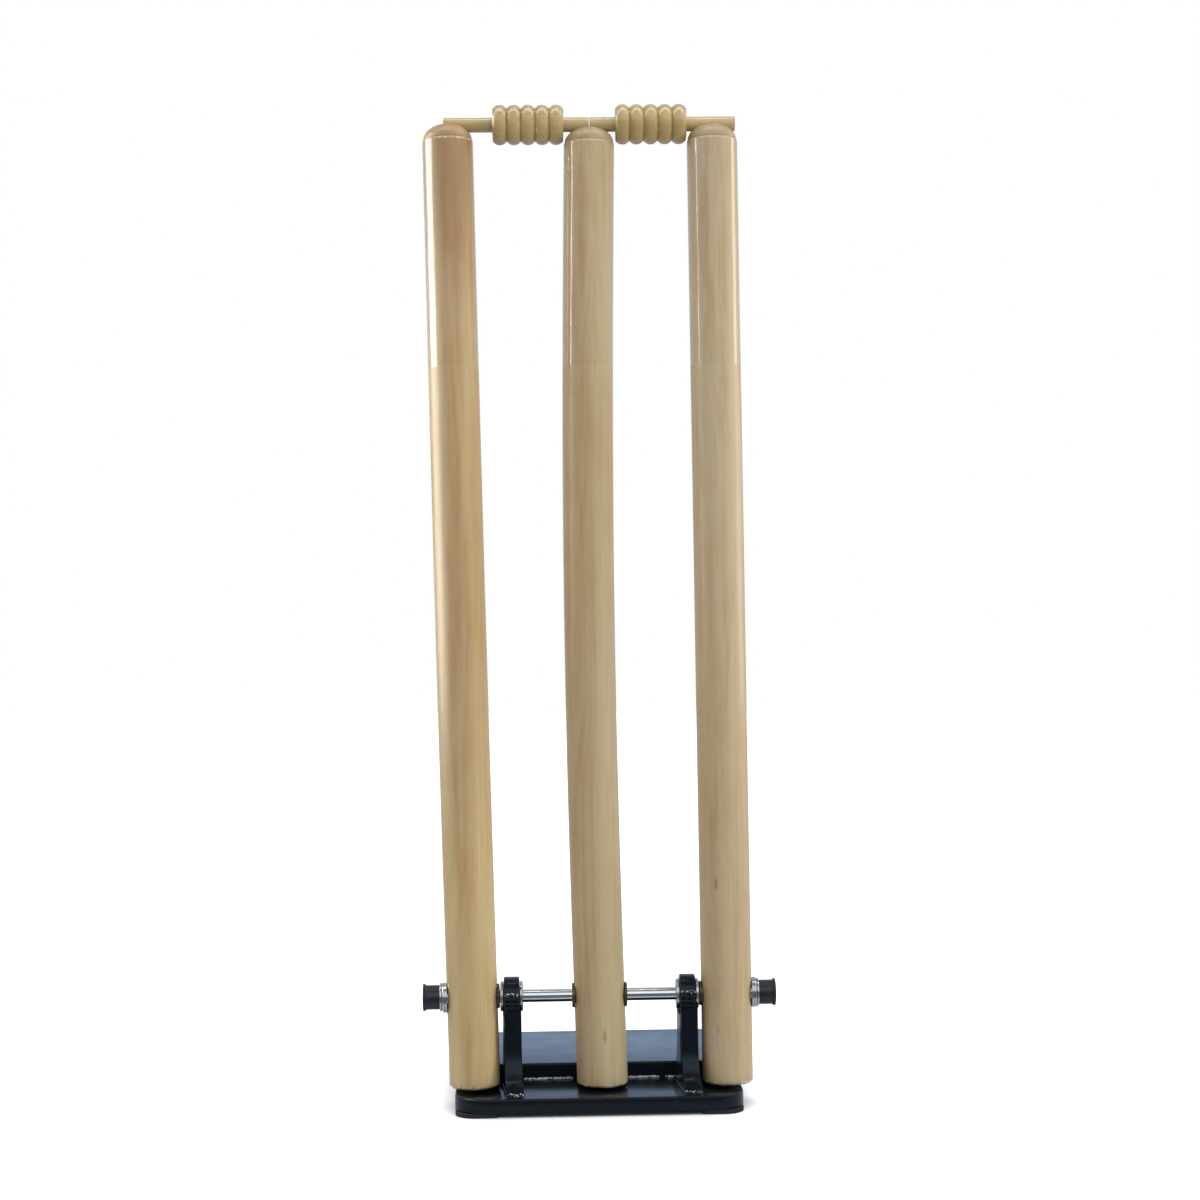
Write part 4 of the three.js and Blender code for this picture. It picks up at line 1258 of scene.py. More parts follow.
def build_ring(side, direction):
    """The ring on top of one bracket, and the two flanged bushes in it."""
    x, half = direction * BRACKET_X, RING_W / 2
    ring = [[RING_BORE, -half], [RING_R, -half], [RING_R, half], [RING_BORE, half]]
    turned_on_axle(f"{side}_ring", ring, [0.4, 1.3, 1.3, 0.4], x, 1, ENAMEL, f"{side}_bracket_ring",
                   around=128)
    seat = half + SEAT_GAP
    deep, far = seat - half + SEAT_GAP, seat + RING_FLANGE - SEAT_GAP
    sleeve = RING_BORE - SEAT_GAP
    bush = [[AXLE_HOLE, deep], [sleeve, deep], [sleeve, seat], [RING_FLANGE_R, seat], [RING_FLANGE_R, far],
            [AXLE_HOLE, far]]
    for toward, word in ((-direction, "inner"), (direction, "outer")):
        turned_on_axle(f"{side}_ring_{word}_bush", bush, [0.2, 0.3, 0.1, 0.4, 0.8, 0.4], x, toward, ZINC,
                       f"{side}_bracket_{word}_bush")


for side, direction in OUTER_SIDES:
    build_ring(side, direction)
print("the rings are", round(BRACKET_X, 2), "mm from the middle")

# %% Side view of a bracket
SKEW = math.radians(4.4)
FOOT_FRONT = -28.0
NECK_HALF = 13.0
PLATE_HALF = 6.7
BALLAST_FRONT = float(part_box("ballast_plate")[0].y) / MM


def bracket_edge(foot_y, foot_z, t):
    """The hollow edge from the foot to the neck, with u for 1 less t. Its y goes from the foot to the
    neck with the square of u, and its z is a curve with three handles: u squared times the first, 2 t u
    times the second and t squared times the third."""
    u = 1 - t
    y = u**2 * foot_y + (1 - u**2) * np.sign(foot_y) * NECK_HALF
    return np.column_stack([y, u**2 * (foot_z + 7) + 2 * t * u * (foot_z + 14) + t**2 * -30])


def bracket_side():
    """The outline seen from the side, about the axle: foot, rear edge, the ring's bed, front edge."""
    room = BALLAST_FRONT - LINE_Y - SEAT_GAP - PLATE_HALF * math.sin(SKEW)
    back, foot_z = room / math.cos(SKEW), PLATE_TOP - AXLE_Z
    t = np.linspace(0, 1, 18)
    bed = RING_R + SEAT_GAP
    widest = math.asin(NECK_HALF / bed)
    a = np.linspace(widest, -widest, 33)
    return np.concatenate([
        [[FOOT_FRONT, foot_z], [back, foot_z]],
        bracket_edge(back, foot_z, t),
        np.column_stack([bed * np.sin(a), -bed * np.cos(a)]),
        bracket_edge(FOOT_FRONT, foot_z, t)[::-1],
    ])


print("a bracket's side has", len(bracket_side()), "points")

# %% The two bracket plates


def skewed(points, x):
    """Points turned about the upright line through the axle at `x`, which swings the front to the
    right."""
    points = np.asarray(points, float)
    over, ahead = points[..., 0] - x, points[..., 1] - LINE_Y
    turned_x = x + over * math.cos(SKEW) - ahead * math.sin(SKEW)
    turned_y = LINE_Y + over * math.sin(SKEW) + ahead * math.cos(SKEW)
    return np.stack([turned_x, turned_y, points[..., 2]], -1)


def build_upright(side, direction):
    """One bracket plate: its side view carried across the width, moved in along its normals at the
    faces."""
    x, outline, edge = direction * BRACKET_X, bracket_side(), 0.8
    tangent = np.roll(outline, -1, 0) - np.roll(outline, 1, 0)
    normal = np.column_stack([tangent[:, 1], -tangent[:, 0]])
    normal /= np.linalg.norm(normal, axis=1)[:, None]
    half, step = PLATE_HALF, 0.25
    insets = [(edge, -half), (step, step - half), (0, edge - half), (0, half - edge), (step, half - step),
              (edge, half)]
    rings = []
    for inset, across in insets:
        flat = outline - normal * inset
        flat[:, 1] = np.maximum(flat[:, 1], PLATE_TOP - AXLE_Z)
        rings.append(np.column_stack([np.full(len(flat), x + across), flat + [LINE_Y, AXLE_Z]]))
    return place(skin(f"{side}_upright", skewed(rings, x), sharp=40), ENAMEL, f"{side}_bracket")


for side, direction in OUTER_SIDES:
    made = build_upright(side, direction)
    print(made.name, "is", round(made.dimensions.z / MM, 1), "mm high")

# %% [markdown]
# ## Base and ballast plates
#
# The weight of the set is in two thick steel plates: the base with its rounded corners, and a second
# plate on its rear half that keeps the stand from tipping when a ball hits. A cube with a Bevel
# modifier would do for one radius. These plates have different radii at the front and at the back, and
# softer edges on top than below, so the same outline is stacked in layers, moved in a little more
# towards each face.

# %% Layers of a plate


def at_height(flat, z):
    """A plan of [x, y] laid at a height."""
    return np.column_stack([flat, np.full(len(flat), z)])


def slab(name, outline_at, bottom, top, low_edge, top_edge, steps=4):
    """A flat plate with rounded edges. `outline_at(inset)` gives its outline moved in by an inset, and
    along the edge the inset is 1 less sine and the rise 1 less cosine of an angle, both times the
    edge's radius."""
    t = np.linspace(0, np.pi / 2, steps + 1)
    inset, rise = 1 - np.sin(t), 1 - np.cos(t)
    layers = [(low_edge * i, bottom + low_edge * r) for i, r in zip(inset, rise)]
    layers += [(top_edge * i, top - top_edge * r) for i, r in zip(inset[::-1], rise[::-1])]
    return skin(name, np.array([at_height(outline_at(i), z) for i, z in layers]), sharp=50)


def outline_of(left, right, low_y, high_y, front_radius, back_radius):
    """A function that gives a rectangle's outline with its own corner radius at the front and at the
    back."""

    def at(inset):
        west, east, low, high = left + inset, right - inset, low_y + inset, high_y - inset
        corners = [[west, low], [east, low], [east, high], [west, high]]
        radii = [max(r - inset, 0.3) for r in (front_radius, front_radius, back_radius, back_radius)]
        return rounded(corners, radii, 20, closed=True)

    return at


print("tools ready:", slab.__name__, "and", outline_of.__name__)

# %% The two plates
FEET = 3
CORNER = 25
LOW_EDGE, TOP_EDGE = 0.4, 1.5
left, right, rear = plate_low.x / MM, plate_high.x / MM, plate_high.y / MM

base = outline_of(left, right, -rear, rear, CORNER, CORNER)
base_steel = slab("base_steel", base, FEET, PLATE_TOP, LOW_EDGE, TOP_EDGE)
place(base_steel, ENAMEL, "base_plate")
ballast = outline_of(left, right, BALLAST_FRONT, rear, 3, CORNER)
ballast_steel = slab("ballast_steel", ballast, PLATE_TOP, BALLAST_TOP, LOW_EDGE, TOP_EDGE)
place(ballast_steel, ENAMEL, "ballast_plate")
print("base", [round(v / MM, 1) for v in base_steel.dimensions], "mm")
print("ballast", [round(v / MM, 1) for v in ballast_steel.dimensions], "mm")

# %% [markdown]
# ## Feet
#
# Under each corner is a square rubber pad, whose outer corner follows the round of the plate. All four
# could be mirrored copies of one object, but an object that is mirrored isn't unscaled any more, and
# the export needs it so. Turning the outline by quarter turns before the mesh is made gives the same
# pads with nothing to undo.

# %% Four rubber pads
PAD_HALF = 16.5
QUARTER_TURNS = {("rear", "right"): 0, ("rear", "left"): 1, ("front", "left"): 2, ("front", "right"): 3}


def pad_outline(centre_x, centre_y, turns):
    """A function that gives a pad's outline, with its big corner turned outwards by quarter turns."""
    c, s = round(math.cos(turns * math.pi / 2)), round(math.sin(turns * math.pi / 2))

    def at(inset):
        half = PAD_HALF - inset
        corners = [[half, half], [-half, half], [-half, -half], [half, -half]]
        line = rounded(corners, [CORNER - 0.5 - inset, 3, 3, 3], 16, closed=True)
        return line @ np.array([[c, s], [-s, c]]) + [centre_x, centre_y]

    return at


for (row, column), turns in QUARTER_TURNS.items():
    node = f"{row}_{column}_foot"
    low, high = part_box(node)
    outline = pad_outline((low.x + high.x) / 2 / MM, (low.y + high.y) / 2 / MM, turns)
    made = place(slab(f"{node}_pad", outline, 0, FEET, 0.5, 0.15), RUBBER, node)
    print(made.name, len(made.data.polygons), "faces")

# %% [markdown]
# ## Rests
#
# Behind each stump's foot stands a strip of steel bent round it. The spring pulls the foot back against
# the strip, and that is what holds the stump upright. A slot lets the spring through. Bending a flat
# strip with a modifier would thin it at the ends. The strip's plan is an arc with a width, so the plan
# is drawn as two arcs, stacked upwards, and the slot is cut out with a rounded box.

# %% Three rests
STRIP = 1.6
SPRING_Z = 41.5
SLOT_HALF, SLOT_DROP = 10, 14.0
SLOT_NEAR, SLOT_FAR = 10, 30


def at_depth(flat, x, y):
    """A view from the front, [across, height], set up at a depth y about an upright line at x."""
    return np.column_stack([x + flat[:, 0], np.full(len(flat), y), flat[:, 1]])


def rest_section(inner, inset):
    """The strip's plan about the stump's middle: an outer arc and an inner arc, both moved in by an
    inset."""
    half = math.radians(58)
    a = np.linspace(math.pi / 2 - half + inset / inner, math.pi / 2 + half - inset / inner, 40)
    circle = np.column_stack([np.cos(a), np.sin(a)])
    return np.concatenate([circle * (inner + STRIP - inset), circle[::-1] * (inner + inset)])


def build_rest(side):
    """The curved strip behind a stump's foot, with a slot for the spring that is open at the top."""
    low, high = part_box(f"{side}_stump_rest")
    x, bottom, top = (low.x + high.x) / 2 / MM, low.z / MM, high.z / MM
    inner = high.y / MM - LINE_Y - STRIP
    levels = [(0.4, bottom), (0.0, bottom + 0.4), (0.0, top - 0.4), (0.12, top - 0.12), (0.4, top)]
    rings = [at_height(rest_section(inner, inset) + [x, LINE_Y], z) for inset, z in levels]
    strip = skin(f"{side}_rest_strip", np.array(rings), sharp=50)
    half, slot_low, slot_high = SLOT_HALF, SPRING_Z - SLOT_DROP, top + 5
    corners = [[-half, slot_low], [half, slot_low], [half, slot_high], [-half, slot_high]]
    flat = rounded(corners, [2, 2, 0, 0], 8, closed=True)
    slot = [at_depth(flat, x, LINE_Y + y) for y in (SLOT_NEAR, SLOT_FAR)]
    carve(strip, skin("slot", np.array(slot)))
    return place(strip, ENAMEL, f"{side}_stump_rest")


for side in SIDES:
    made = build_rest(side)
    print(made.name, "is", round(made.dimensions.z / MM, 1), "mm high")

# %% [markdown]
# ## Spring tabs
#
# On the ballast plate stands one small tab for each spring, rounded at its top corners, with a round
# hole for the hook. It could be an extruded plane with a Bevel modifier. As with the bracket, layers of
# one outline give its soft edges, and a plain rod of the hole's size is the drill.

# %% Three spring tabs
TAB_HALF, TAB_CORNER = 10, 4
HOLE_R, HOLE_DROP = 4, 6


def tab_outline(bottom, top, inset):
    """A tab seen from the front: straight sides, and two rounded corners at the top."""
    half = TAB_HALF - inset
    corners = [[-half, bottom], [half, bottom], [half, top - inset], [-half, top - inset]]
    return rounded(corners, [0, 0, TAB_CORNER - inset, TAB_CORNER - inset], 10, closed=True)


def build_tab(side):
    """The upright tab that holds a spring's rear hook."""
    low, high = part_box(f"{side}_spring_tab")
    x, front, rear = (low.x + high.x) / 2 / MM, low.y / MM, high.y / MM
    layers = [(0.5, front), (0.12, front + 0.15), (0, front + 0.5), (0, rear - 0.5), (0.12, rear - 0.15),
              (0.5, rear)]
    rings = [at_depth(tab_outline(low.z / MM, high.z / MM, inset), x, y) for inset, y in layers]
    tab = skin(f"{side}_tab", np.array(rings), sharp=50)
    t = np.linspace(0, 2 * np.pi, 48, endpoint=False)
    hole = np.column_stack([HOLE_R * np.cos(t), SPRING_Z - HOLE_DROP + HOLE_R * np.sin(t)])
    drill = [at_depth(hole, x, y) for y in (front - 2, rear + 2)]
    carve(tab, skin("hole", np.array(drill)))
    return place(tab, ENAMEL, f"{side}_spring_tab")


for side in SIDES:
    made = build_tab(side)
    print(made.name, len(made.data.polygons), "faces")

# %% [markdown]
# ## Weld beads
#
# Where two pieces of steel meet, a bead of weld fills the corner: a row of frozen ripples, thicker here
# and thinner there, that ends in a round tail. A bump on the corner could suggest it, but a bump has no
# outline, and round the rings the lumps stand out against the light. So each bead is a tube laid along
# the corner. Its radius swells and sinks at each ripple of the weld pool, and wanders a little besides.

# %% A round wire along a path


def tube(path, radius, around=16, swell=None):
    """Rings of a round wire along a path of points. Each ring stands square to the path and is turned
    as little as possible from the one before. `swell` gives the radius a factor for each point of each
    ring."""
    path = np.asarray(path, float)
    ahead = np.gradient(path, axis=0)
    ahead /= np.linalg.norm(ahead, axis=1)[:, None]
    side = np.cross(ahead[0], [0.123, 0.456, 0.88])
    frames = []
    for direction in ahead:
        side = side - (side @ direction) * direction
        side /= np.linalg.norm(side)
        frames.append(side)
    side = np.array(frames)
    up = np.cross(ahead, side)
    angle = np.linspace(0, 2 * np.pi, around, endpoint=False)[None, :, None]
    reach = radius if swell is None else radius * swell[:, :, None]
    return path[:, None] + reach * (side[:, None] * np.cos(angle) + up[:, None] * np.sin(angle))


print("a straight wire has rings of shape", tube([[0, 0, 0], [0, 5, 0], [0, 10, 0]], 1.0).shape)

# %% A rippled bead
RIPPLE_PITCH = 2.1
BEAD_STEP = 0.35


def weld_bead(name, points, radius, seed, material):
    """A bead along a line of points. Its radius is the given one times a factor: 1 plus 0.16 |sin| once
    every pitch for the weld pool, plus a slow wander, plus lumps that wind round it. A square root
    rounds off the two ends."""
    points = np.asarray(points, float)
    steps = np.concatenate([[0], np.cumsum(np.linalg.norm(np.diff(points, axis=0), axis=1))])
    length = steps[-1]
    along = np.linspace(0, length, max(int(length / BEAD_STEP), 12))
    path = np.column_stack([np.interp(along, steps, points[:, i]) for i in range(3)])
    path += 0.25 * np.column_stack([ripple(path, seed + i, 2.5) for i in range(3)])
    turn = np.linspace(0, 2 * np.pi, 20, endpoint=False)
    wave = np.abs(np.sin(np.pi * along / RIPPLE_PITCH))
    pool = 1 + 0.16 * wave[:, None] + 0.22 * ripple(path, seed + 5, 1.8)[:, None]
    lumps = 0.14 * np.sin(3 * turn[None] + 2.2 * along[:, None] / RIPPLE_PITCH + seed)
    tails = np.sqrt(np.clip(np.minimum(along, length - along) / 1.6, 0.02, 1))[:, None]
    bead = skin(name, tube(path, radius, 20, (pool + lumps) * tails), sharp=70)
    dress(bead, material)
    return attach(bead, "base")


print("a bead 40 mm long has", int(40 / BEAD_STEP), "rings")

# %% Beads of the ballast plate and the brackets' feet
BALLAST_STRETCHES = ((-61, -21), (21, 49), (53, 61))
y, z = BALLAST_FRONT - 0.3, PLATE_TOP + 0.3
for i, (start, end) in enumerate(BALLAST_STRETCHES):
    weld_bead(f"ballast_weld_{i}", [[start, y, z], [end, y, z]], 1.0, 11 + i, WORN_WELD_WITH_GLINTS)

front_y = LINE_Y + FOOT_FRONT - 0.3
for side, direction in OUTER_SIDES:
    x = direction * BRACKET_X
    wide = PLATE_HALF + 0.8
    ends = skewed([[x - wide, front_y, z], [x + wide, front_y, z]], x)
    weld_bead(f"{side}_foot_weld", ends, 1.5, 21 + direction, ENAMEL_WELD_WITH_GLINTS)
    for word, reach in (("inner", -1), ("outer", 1)):
        edge = x + reach * direction * (PLATE_HALF + 0.2)
        ends = skewed([[edge, front_y, z], [edge, BALLAST_FRONT - 2.5, z]], x)
        made = weld_bead(f"{side}_{word}_weld", ends, 0.9, 31 + reach, ENAMEL)
        print(made.name, len(made.data.polygons), "faces")

# %% Beads under the rings
RING_BEADS = ((61, 2.0), (75, 1.9), (89, 1.8), (102, 1.4))


def ring_welds(side, direction, word, way, seed):
    """Four beads side by side under a ring, in front or behind, each at its own angle from the lowest
    point. The last one is where the spray wore off, and its pale specks are also painted glints."""
    x, bed = direction * BRACKET_X, RING_R - 0.4
    for i, (degrees, radius) in enumerate(RING_BEADS):
        angle = math.radians(degrees)
        y, z = LINE_Y + way * bed * math.sin(angle), AXLE_Z - bed * math.cos(angle)
        coat = ENAMEL_WELD_WITH_GLINTS if i == len(RING_BEADS) - 1 else ENAMEL
        ends = [[x - RING_W / 2, y, z], [x + RING_W / 2, y, z]]
        weld_bead(f"{side}_ring_{word}_weld_{i}", ends, radius, seed + direction + 7 * i, coat)


for side, direction in OUTER_SIDES:
    ring_welds(side, direction, "front", -1, 41)
    ring_welds(side, direction, "rear", 1, 43)
    print(side, "ring has", 2 * len(RING_BEADS), "beads")

# %% Beads of the rests and the tabs
REST_BEAD_R = 22.6
TAB_BEAD_HALF = 9
for side in SIDES:
    x = below_axle(side, AXLE_Z - SPRING_Z)
    a = np.linspace(math.radians(36), math.radians(144), 30)
    circle = REST_BEAD_R * np.column_stack([np.cos(a), np.sin(a)])
    arc = at_height(circle + [x, LINE_Y], PLATE_TOP + 0.4)
    weld_bead(f"{side}_rest_weld", arc, 1.2, 51 + SIDES[side], ENAMEL)
    y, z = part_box(f"{side}_spring_tab")[1].y / MM + 0.3, BALLAST_TOP + 0.3
    ends = [[x - TAB_BEAD_HALF, y, z], [x + TAB_BEAD_HALF, y, z]]
    weld_bead(f"{side}_tab_weld", ends, 1.3, 61 + SIDES[side], ENAMEL_WELD_WITH_GLINTS)

# %% [markdown]
# ## Return springs
#
# An extension spring pulls each stump upright. It is one wire: an upright hook, twenty close curls, and
# the same hook turned over. A Screw modifier makes a helix easily, but the hooks would have to be
# joined to it by hand, with a kink at each joint. Here the knots of all three parts lie in one list, a
# smooth curve runs through them, and a tube follows the curve.
#
# The front hook moves with the stump while the rear one stays on its tab. Here the spring is not
# attached to either body.

# %% Smooth line through knots


def smooth_line(knots, steps):
    """A smooth curve through all the knots. Between each two it is a cubic, the sum of both ends and
    both slopes times their own polynomials in t. A slope comes from the neighbours, weighted by the
    square root of their distances, so that long and short stretches meet without a bump."""
    before, after = knots[:-1], knots[1:]
    chord = np.linalg.norm(after - before, axis=1) ** 0.5
    padded = np.vstack([2 * knots[0] - knots[1], knots, 2 * knots[-1] - knots[-2]])
    chords = np.concatenate([[chord[0]], chord, [chord[-1]]])
    c0, c1, c2 = chords[:-2, None], chords[1:-1, None], chords[2:, None]
    p0, p1, p2, p3 = padded[:-3], padded[1:-2], padded[2:-1], padded[3:]
    m1 = ((p1 - p0) / c0 - (p2 - p0) / (c0 + c1) + (p2 - p1) / c1) * c1
    m2 = ((p2 - p1) / c1 - (p3 - p1) / (c1 + c2) + (p3 - p2) / c2) * c1
    long_span = np.linalg.norm(p2 - p1, axis=1) > 1.6
    out = []
    for i, is_long in enumerate(long_span):
        t = np.linspace(0, 1, steps + 1 if is_long else 2)[:-1, None]
        out.append((2 * t**3 - 3 * t**2 + 1) * p1[i] + (t**3 - 2 * t**2 + t) * m1[i]
                   + (3 * t**2 - 2 * t**3) * p2[i] + (t**3 - t**2) * m2[i])
    return np.vstack(out + [knots[-1:]])


corner = np.array([[0.0, 0, 0], [10, 0, 0], [10, 10, 0]])
print("a line through 3 knots has", len(smooth_line(corner, 6)), "points")

# %% Path of the spring wire
SPRING_R, WIRE_R = 6.0, 1.0
CURLS, PITCH = 20, 2.8
NECK = 1.5
HOOK_Y = 28.4
CURLS_START = HOOK_Y + SPRING_R + NECK
CURLS_END = CURLS_START + CURLS * PITCH
REAR_HOOK_Y = CURLS_END + NECK + SPRING_R


def hook_knots(centre, curls_end, forward):
    """A hook that stands upright: an arc about its centre, with a straight tip two wires long, and one
    knot for the neck that leads to the curls."""
    begin = math.radians(-32)
    angles = np.linspace(begin, math.radians(235), 9)
    along = centre - forward * SPRING_R * np.sin(angles)
    arc = np.column_stack([0 * angles, along, SPRING_R * np.cos(angles)])
    tip = arc[-1] - arc[-2]
    arc = np.vstack([arc, arc[-1] + tip / np.linalg.norm(tip) * 2 * WIRE_R])
    neck_y = curls_end - forward * (NECK + SPRING_R * (1 + math.sin(begin))) * 0.45
    return np.vstack([[forward * SPRING_R * 0.22, neck_y, SPRING_R * 0.96], arc])


def spring_path():
    """Points of a return spring's middle line along Y, about its own axis. The curls are a helix: sine
    and cosine of an angle across, and the pitch times the angle's full turns along."""
    lead = math.radians(50)
    turn = np.linspace(lead, 2 * CURLS * np.pi - lead, CURLS * 24 + 1)
    along = CURLS_START + PITCH * turn / (2 * np.pi)
    curls = np.column_stack([SPRING_R * np.sin(turn), along, SPRING_R * np.cos(turn)])
    front, rear = hook_knots(HOOK_Y, CURLS_START, 1), hook_knots(REAR_HOOK_Y, CURLS_END, -1)
    return smooth_line(np.vstack([front[::-1], curls, rear]), 6)


PATH = spring_path()
print("spring wire has", len(PATH), "points")

# %% The three springs
for side in SIDES:
    x = below_axle(side, AXLE_Z - SPRING_Z)
    spring = skin(f"{side}_return_spring", tube(PATH, WIRE_R, 12) + [x, LINE_Y, SPRING_Z], sharp=60)
    dress(spring, SPRING_STEEL)
    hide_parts(f"{side}_spring")
    rear, front = (0, (LINE_Y + CURLS_END) * MM, 0), (0, (LINE_Y + CURLS_START) * MM, 0)
    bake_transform(spring)
    print(spring.name, len(spring.data.polygons), "faces")

# %% [markdown]
# ## Staples
#
# The front hook holds on to a wire staple, driven into the back of the stump's foot. A curve object
# with a bevel depth would give such a wire too, but it has to become a mesh for the export anyway. The
# tube tool is already there, so the staple is four corners, the two outer ones rounded, with a tube
# along them.

# %% Three staples
STAPLE_BAR, STAPLE_WIRE_R = 25.45, 1.75
STAPLE_HALF, STAPLE_DEPTH, STAPLE_BEND = 7.0, STUMP_R - 14, 3.2
for side in SIDES:
    x = below_axle(side, AXLE_Z - SPRING_Z)
    corners = [[-STAPLE_HALF, STAPLE_DEPTH], [-STAPLE_HALF, STAPLE_BAR], [STAPLE_HALF, STAPLE_BAR],
               [STAPLE_HALF, STAPLE_DEPTH]]
    flat = rounded(corners, [0, STAPLE_BEND, STAPLE_BEND, 0], 12)
    wire = np.column_stack([flat, np.zeros(len(flat))])
    staple = skin(f"{side}_staple", tube(wire, STAPLE_WIRE_R, 20) + [x, LINE_Y, SPRING_Z], sharp=50)
    place(staple, ZINC, f"{side}_spring_staple")
    print(staple.name, len(staple.data.polygons), "faces")

# %% [markdown]
# ## The room that lights the set
#
# The set was photographed in front of white, in a bright room that is dimmer on the camera's side. A
# picture of a room could light the scene, but nothing in it could be adjusted. A World made of sums
# can: the light grows to the sides, upwards and behind, each by its own amount.

# %% Light of the room
scene = bpy.context.scene
ROOM = {"least": 0.34, "sides": 0.4, "above": 0.5, "behind": 0.7}
world = bpy.data.worlds.new("white room")
scene.world = world
world.use_nodes = True
tree = world.node_tree
tree.nodes.clear()
x, y, z = split_axes(tree, tree.nodes.new("ShaderNodeTexCoord").outputs["Generated"])
sideways = sums(tree, "ABSOLUTE", x)
strength = plus(tree, ROOM["least"], times(tree, sums(tree, "POWER", sideways, 1.6), ROOM["sides"]))
strength = plus(tree, strength, times(tree, sums(tree, "MAXIMUM", z, 0.0), ROOM["above"]))
strength = plus(tree, strength, times(tree, sums(tree, "MAXIMUM", y, 0.0), ROOM["behind"]))
room = grow(tree, "ShaderNodeBackground", {"Color": (0.98, 0.99, 1.0, 1), "Strength": strength})
print("the room's light is", ROOM)

# %% [markdown]
# ### What the metal mirrors
#
# Chrome and enamel show little of their own and much of what stands round them: here a soft light high
# in front, a bluish gap straight behind, and a ceiling that darkens towards the top. Real cards and
# lamps in those places would also light the wood. So a second background is given to mirroring rays
# alone, by the Light Path node, and the camera itself sees plain white behind the object.

# %% Mirrored room
in_front = span(tree, y, -0.1, -0.5)
soft_light = times(tree, span(tree, z, 0.14, 0.34), span(tree, z, 0.74, 0.90, 1.0, 0.0))
front_level = plus(tree, 0.10, soft_light)
back_level = minus(tree, span(tree, sideways, 0.3, 0.6, 0.95, 0.55), span(tree, z, 0.45, 0.97, 0.0, 0.68))
level = plus(tree, times(tree, in_front, front_level), times(tree, minus(tree, 1.0, in_front), back_level))
gap = times(tree, span(tree, sideways, 0.25, 0.6, 1.0, 0.0), span(tree, z, 0.4, 0.7, 1.0, 0.0))
tint = blended(tree, gap, (1.0, 0.98, 0.95, 1), (0.50, 0.68, 0.95, 1))
shine = blended(tree, in_front, tint, (0.90, 0.96, 1.0, 1))
mirrored = grow(tree, "ShaderNodeBackground", {"Color": shine, "Strength": level})
plain = grow(tree, "ShaderNodeBackground", {"Color": (1, 1, 1, 1), "Strength": 1.0})
print("mirrored room:", len(tree.nodes), "nodes so far")

# %% Which ray meets which room


def mirror_rays(tree):
    """The outputs of a Light Path node, and 1 for rays that come off a mirroring face or through
    glass."""
    path = tree.nodes.new("ShaderNodeLightPath").outputs
    return path, sums(tree, "MAXIMUM", path["Is Glossy Ray"], path["Is Transmission Ray"])


path, in_mirror = mirror_rays(tree)
mixed = grow(tree, "ShaderNodeMixShader", {0: in_mirror, 1: room.outputs[0], 2: mirrored.outputs[0]})
behind = {0: path["Is Camera Ray"], 1: mixed.outputs[0], 2: plain.outputs[0]}
mixed = grow(tree, "ShaderNodeMixShader", behind)
tree.links.new(mixed.outputs[0], tree.nodes.new("ShaderNodeOutputWorld").inputs[0])
print("the world has", len(tree.nodes), "nodes")

# %% [markdown]
# ## Ground
#
# The set stands on white paper that fades into the white behind it, with only a faint shade under the
# base. A shadow catcher would leave the ground out of the mirroring steel. So the ground is a wide disc
# that glows for the camera, and Ambient Occlusion takes the glow away close to the base. To mirrors it
# is paper with painted shade far in front, where a real room would be darker too.

# %% White ground
GROUND_R = 7000
t = np.linspace(0, 2 * np.pi, 96, endpoint=False)
disc = np.column_stack([GROUND_R * np.cos(t), GROUND_R * np.sin(t), 0 * t])
ground = make_piece("ground", disc, np.arange(len(t))[None])
ground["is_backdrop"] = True

material, tree, shader, on_ground = new_material("white ground")
path, in_mirror = mirror_rays(tree)
clouds = span(tree, noise(tree, on_ground, 5.0, 2.0), 0.3, 0.7, 0.0, 0.02)
paper = blended(tree, clouds, (0.50, 0.52, 0.55, 1), (0.4, 0.42, 0.45, 1))
# painted shade: far in front, mirrors see the paper nearly black
shade_far_ahead = span(tree, split_axes(tree, on_ground)[1], -0.21, -0.15, 1.0, 0.0)
near = grow(tree, "ShaderNodeAmbientOcclusion", {"Distance": 0.026}, samples=6).outputs["AO"]
glow = plus(tree, times(tree, path["Is Camera Ray"], 0.92), times(tree, in_mirror, 0.02))
wired(tree, shader, {
    "Base Color": blended(tree, times(tree, in_mirror, shade_far_ahead), paper, (0.09, 0.095, 0.10, 1)),
    "Roughness": 0.9,
    "Specular IOR Level": 0.0,
    "Emission Color": (1, 1, 1, 1),
    "Emission Strength": times(tree, sums(tree, "POWER", near, 1.6), glow),
})
dress(ground, material)
print("the ground reaches", GROUND_R / 1000, "m")

# %% [markdown]
# ## Lamps
#
# Windows at both sides and soft lights in front and above shape the round stumps. Seen in the varnish
# they would be hard white squares, so those four are hidden from glossy rays. The bright bands in the
# film come from two narrow panes and a strip above the bails, which are hidden from diffuse rays, so
# that they light nothing. One set of lamps could do both, but light and shine could then not be set
# apart.

# %% Lamps


def lamp(name, location, target, size, power, hidden_from):
    """A rectangular light at a place in metres, turned towards a target, that one kind of ray doesn't
    meet."""
    data = bpy.data.lights.new(name, "AREA")
    data.shape, (data.size, data.size_y) = "RECTANGLE", size
    data.energy = power
    light = bpy.data.objects.new(name, data)
    scene.collection.objects.link(light)
    light.location = location
    aim = Vector((np.array(target) - np.array(location)).tolist())
    light.rotation_euler = aim.to_track_quat("-Z", "Y").to_euler()
    light.visible_camera = False
    setattr(light, f"visible_{hidden_from}", False)
    light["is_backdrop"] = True


lamp("left window", (-1.3, 0.75, 0.6), (0, -0.07, 0.45), (0.5, 1.5), 2, "glossy")
lamp("right window", (1.4, -0.75, 0.7), (0, -0.07, 0.45), (0.4, 1.4), 7, "glossy")
lamp("front softbox", (0.6, -1.9, 1.6), (0, -0.07, 0.45), (1.2, 0.8), 10, "glossy")
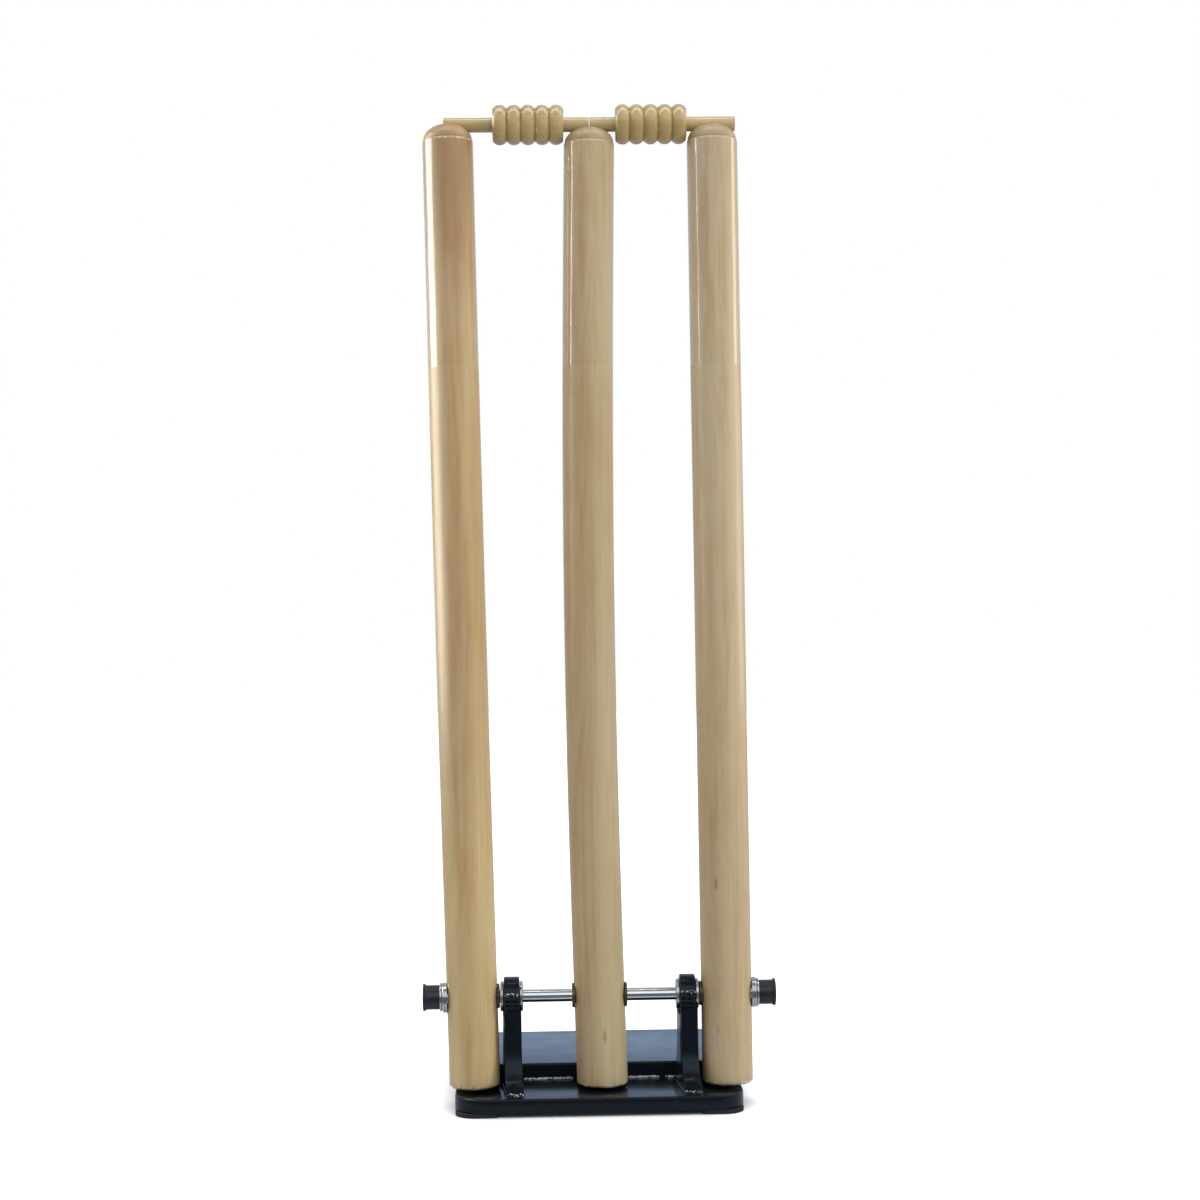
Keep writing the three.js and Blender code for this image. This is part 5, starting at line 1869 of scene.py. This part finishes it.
lamp("overhead", (0, -0.6, 2.2), (0, 0, 0.3), (1.4, 0.8), 4, "glossy")
lamp("left pane", (-0.445, -0.035, 0.68), (-0.1, -0.066, 0.68), (0.23, 0.75), 4.5, "diffuse")
lamp("right pane", (0.445, -0.005, 0.68), (0.1, -0.066, 0.68), (0.12, 0.75), 0.9, "diffuse")
lamp("above the bails", (0, -0.08, 1.0), (0, -0.066, 0.78), (0.6, 0.07), 0.8, "diffuse")
print(len(bpy.data.lights), "lamps")

# %% [markdown]
# ## Camera
#
# The photograph was taken from about 1.8 m away, a little below the middle of the stumps, with the
# camera rolled by less than a degree. A Track To constraint could aim a camera, but it can't roll it.
# These values were fitted to marks that can be measured in the picture, such as the crowns, the caps
# and the plates' corners, and they are turned into the camera's own three axes: right, up and back.

# %% The fitted camera
CAMERA = {"x": -0.0463, "z": 0.3892, "distance": 1.7594, "yaw": 1.643, "pitch": -0.335, "roll": 0.688}
lens = bpy.data.cameras.new("camera")
lens.sensor_width, lens.lens = 36.0, 66.69
lens.clip_start, lens.clip_end = 0.01, 100
camera = bpy.data.objects.new("camera", lens)
scene.collection.objects.link(camera)
scene.camera = camera

yaw, pitch, roll = (math.radians(CAMERA[k]) for k in ("yaw", "pitch", "roll"))
ahead = np.array([math.sin(yaw) * math.cos(pitch), math.cos(yaw) * math.cos(pitch), -math.sin(pitch)])
across = np.array([math.cos(yaw), -math.sin(yaw), 0.0])
above = np.cross(across, ahead)
right = across * math.cos(roll) - above * math.sin(roll)
up = across * math.sin(roll) + above * math.cos(roll)
turn = Matrix(np.column_stack([right, up, -ahead]).tolist()).to_4x4()
turn.translation = (CAMERA["x"], LINE_Y * MM - CAMERA["distance"], CAMERA["z"])
camera.matrix_world = turn
camera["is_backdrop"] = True
scene.view_settings.view_transform = "Standard"
scene.view_settings.look = "None"
print("the camera is at", [round(v, 4) for v in turn.translation])

# %% [markdown]
#
# The last cell prints the box round all the shown pieces, in metres. The finer pieces may not make the
# set larger or smaller than its CAD model.

# %% Sizes before and after
low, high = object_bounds()
print("visual box", [round(v, 4) for v in low], [round(v, 4) for v in high])
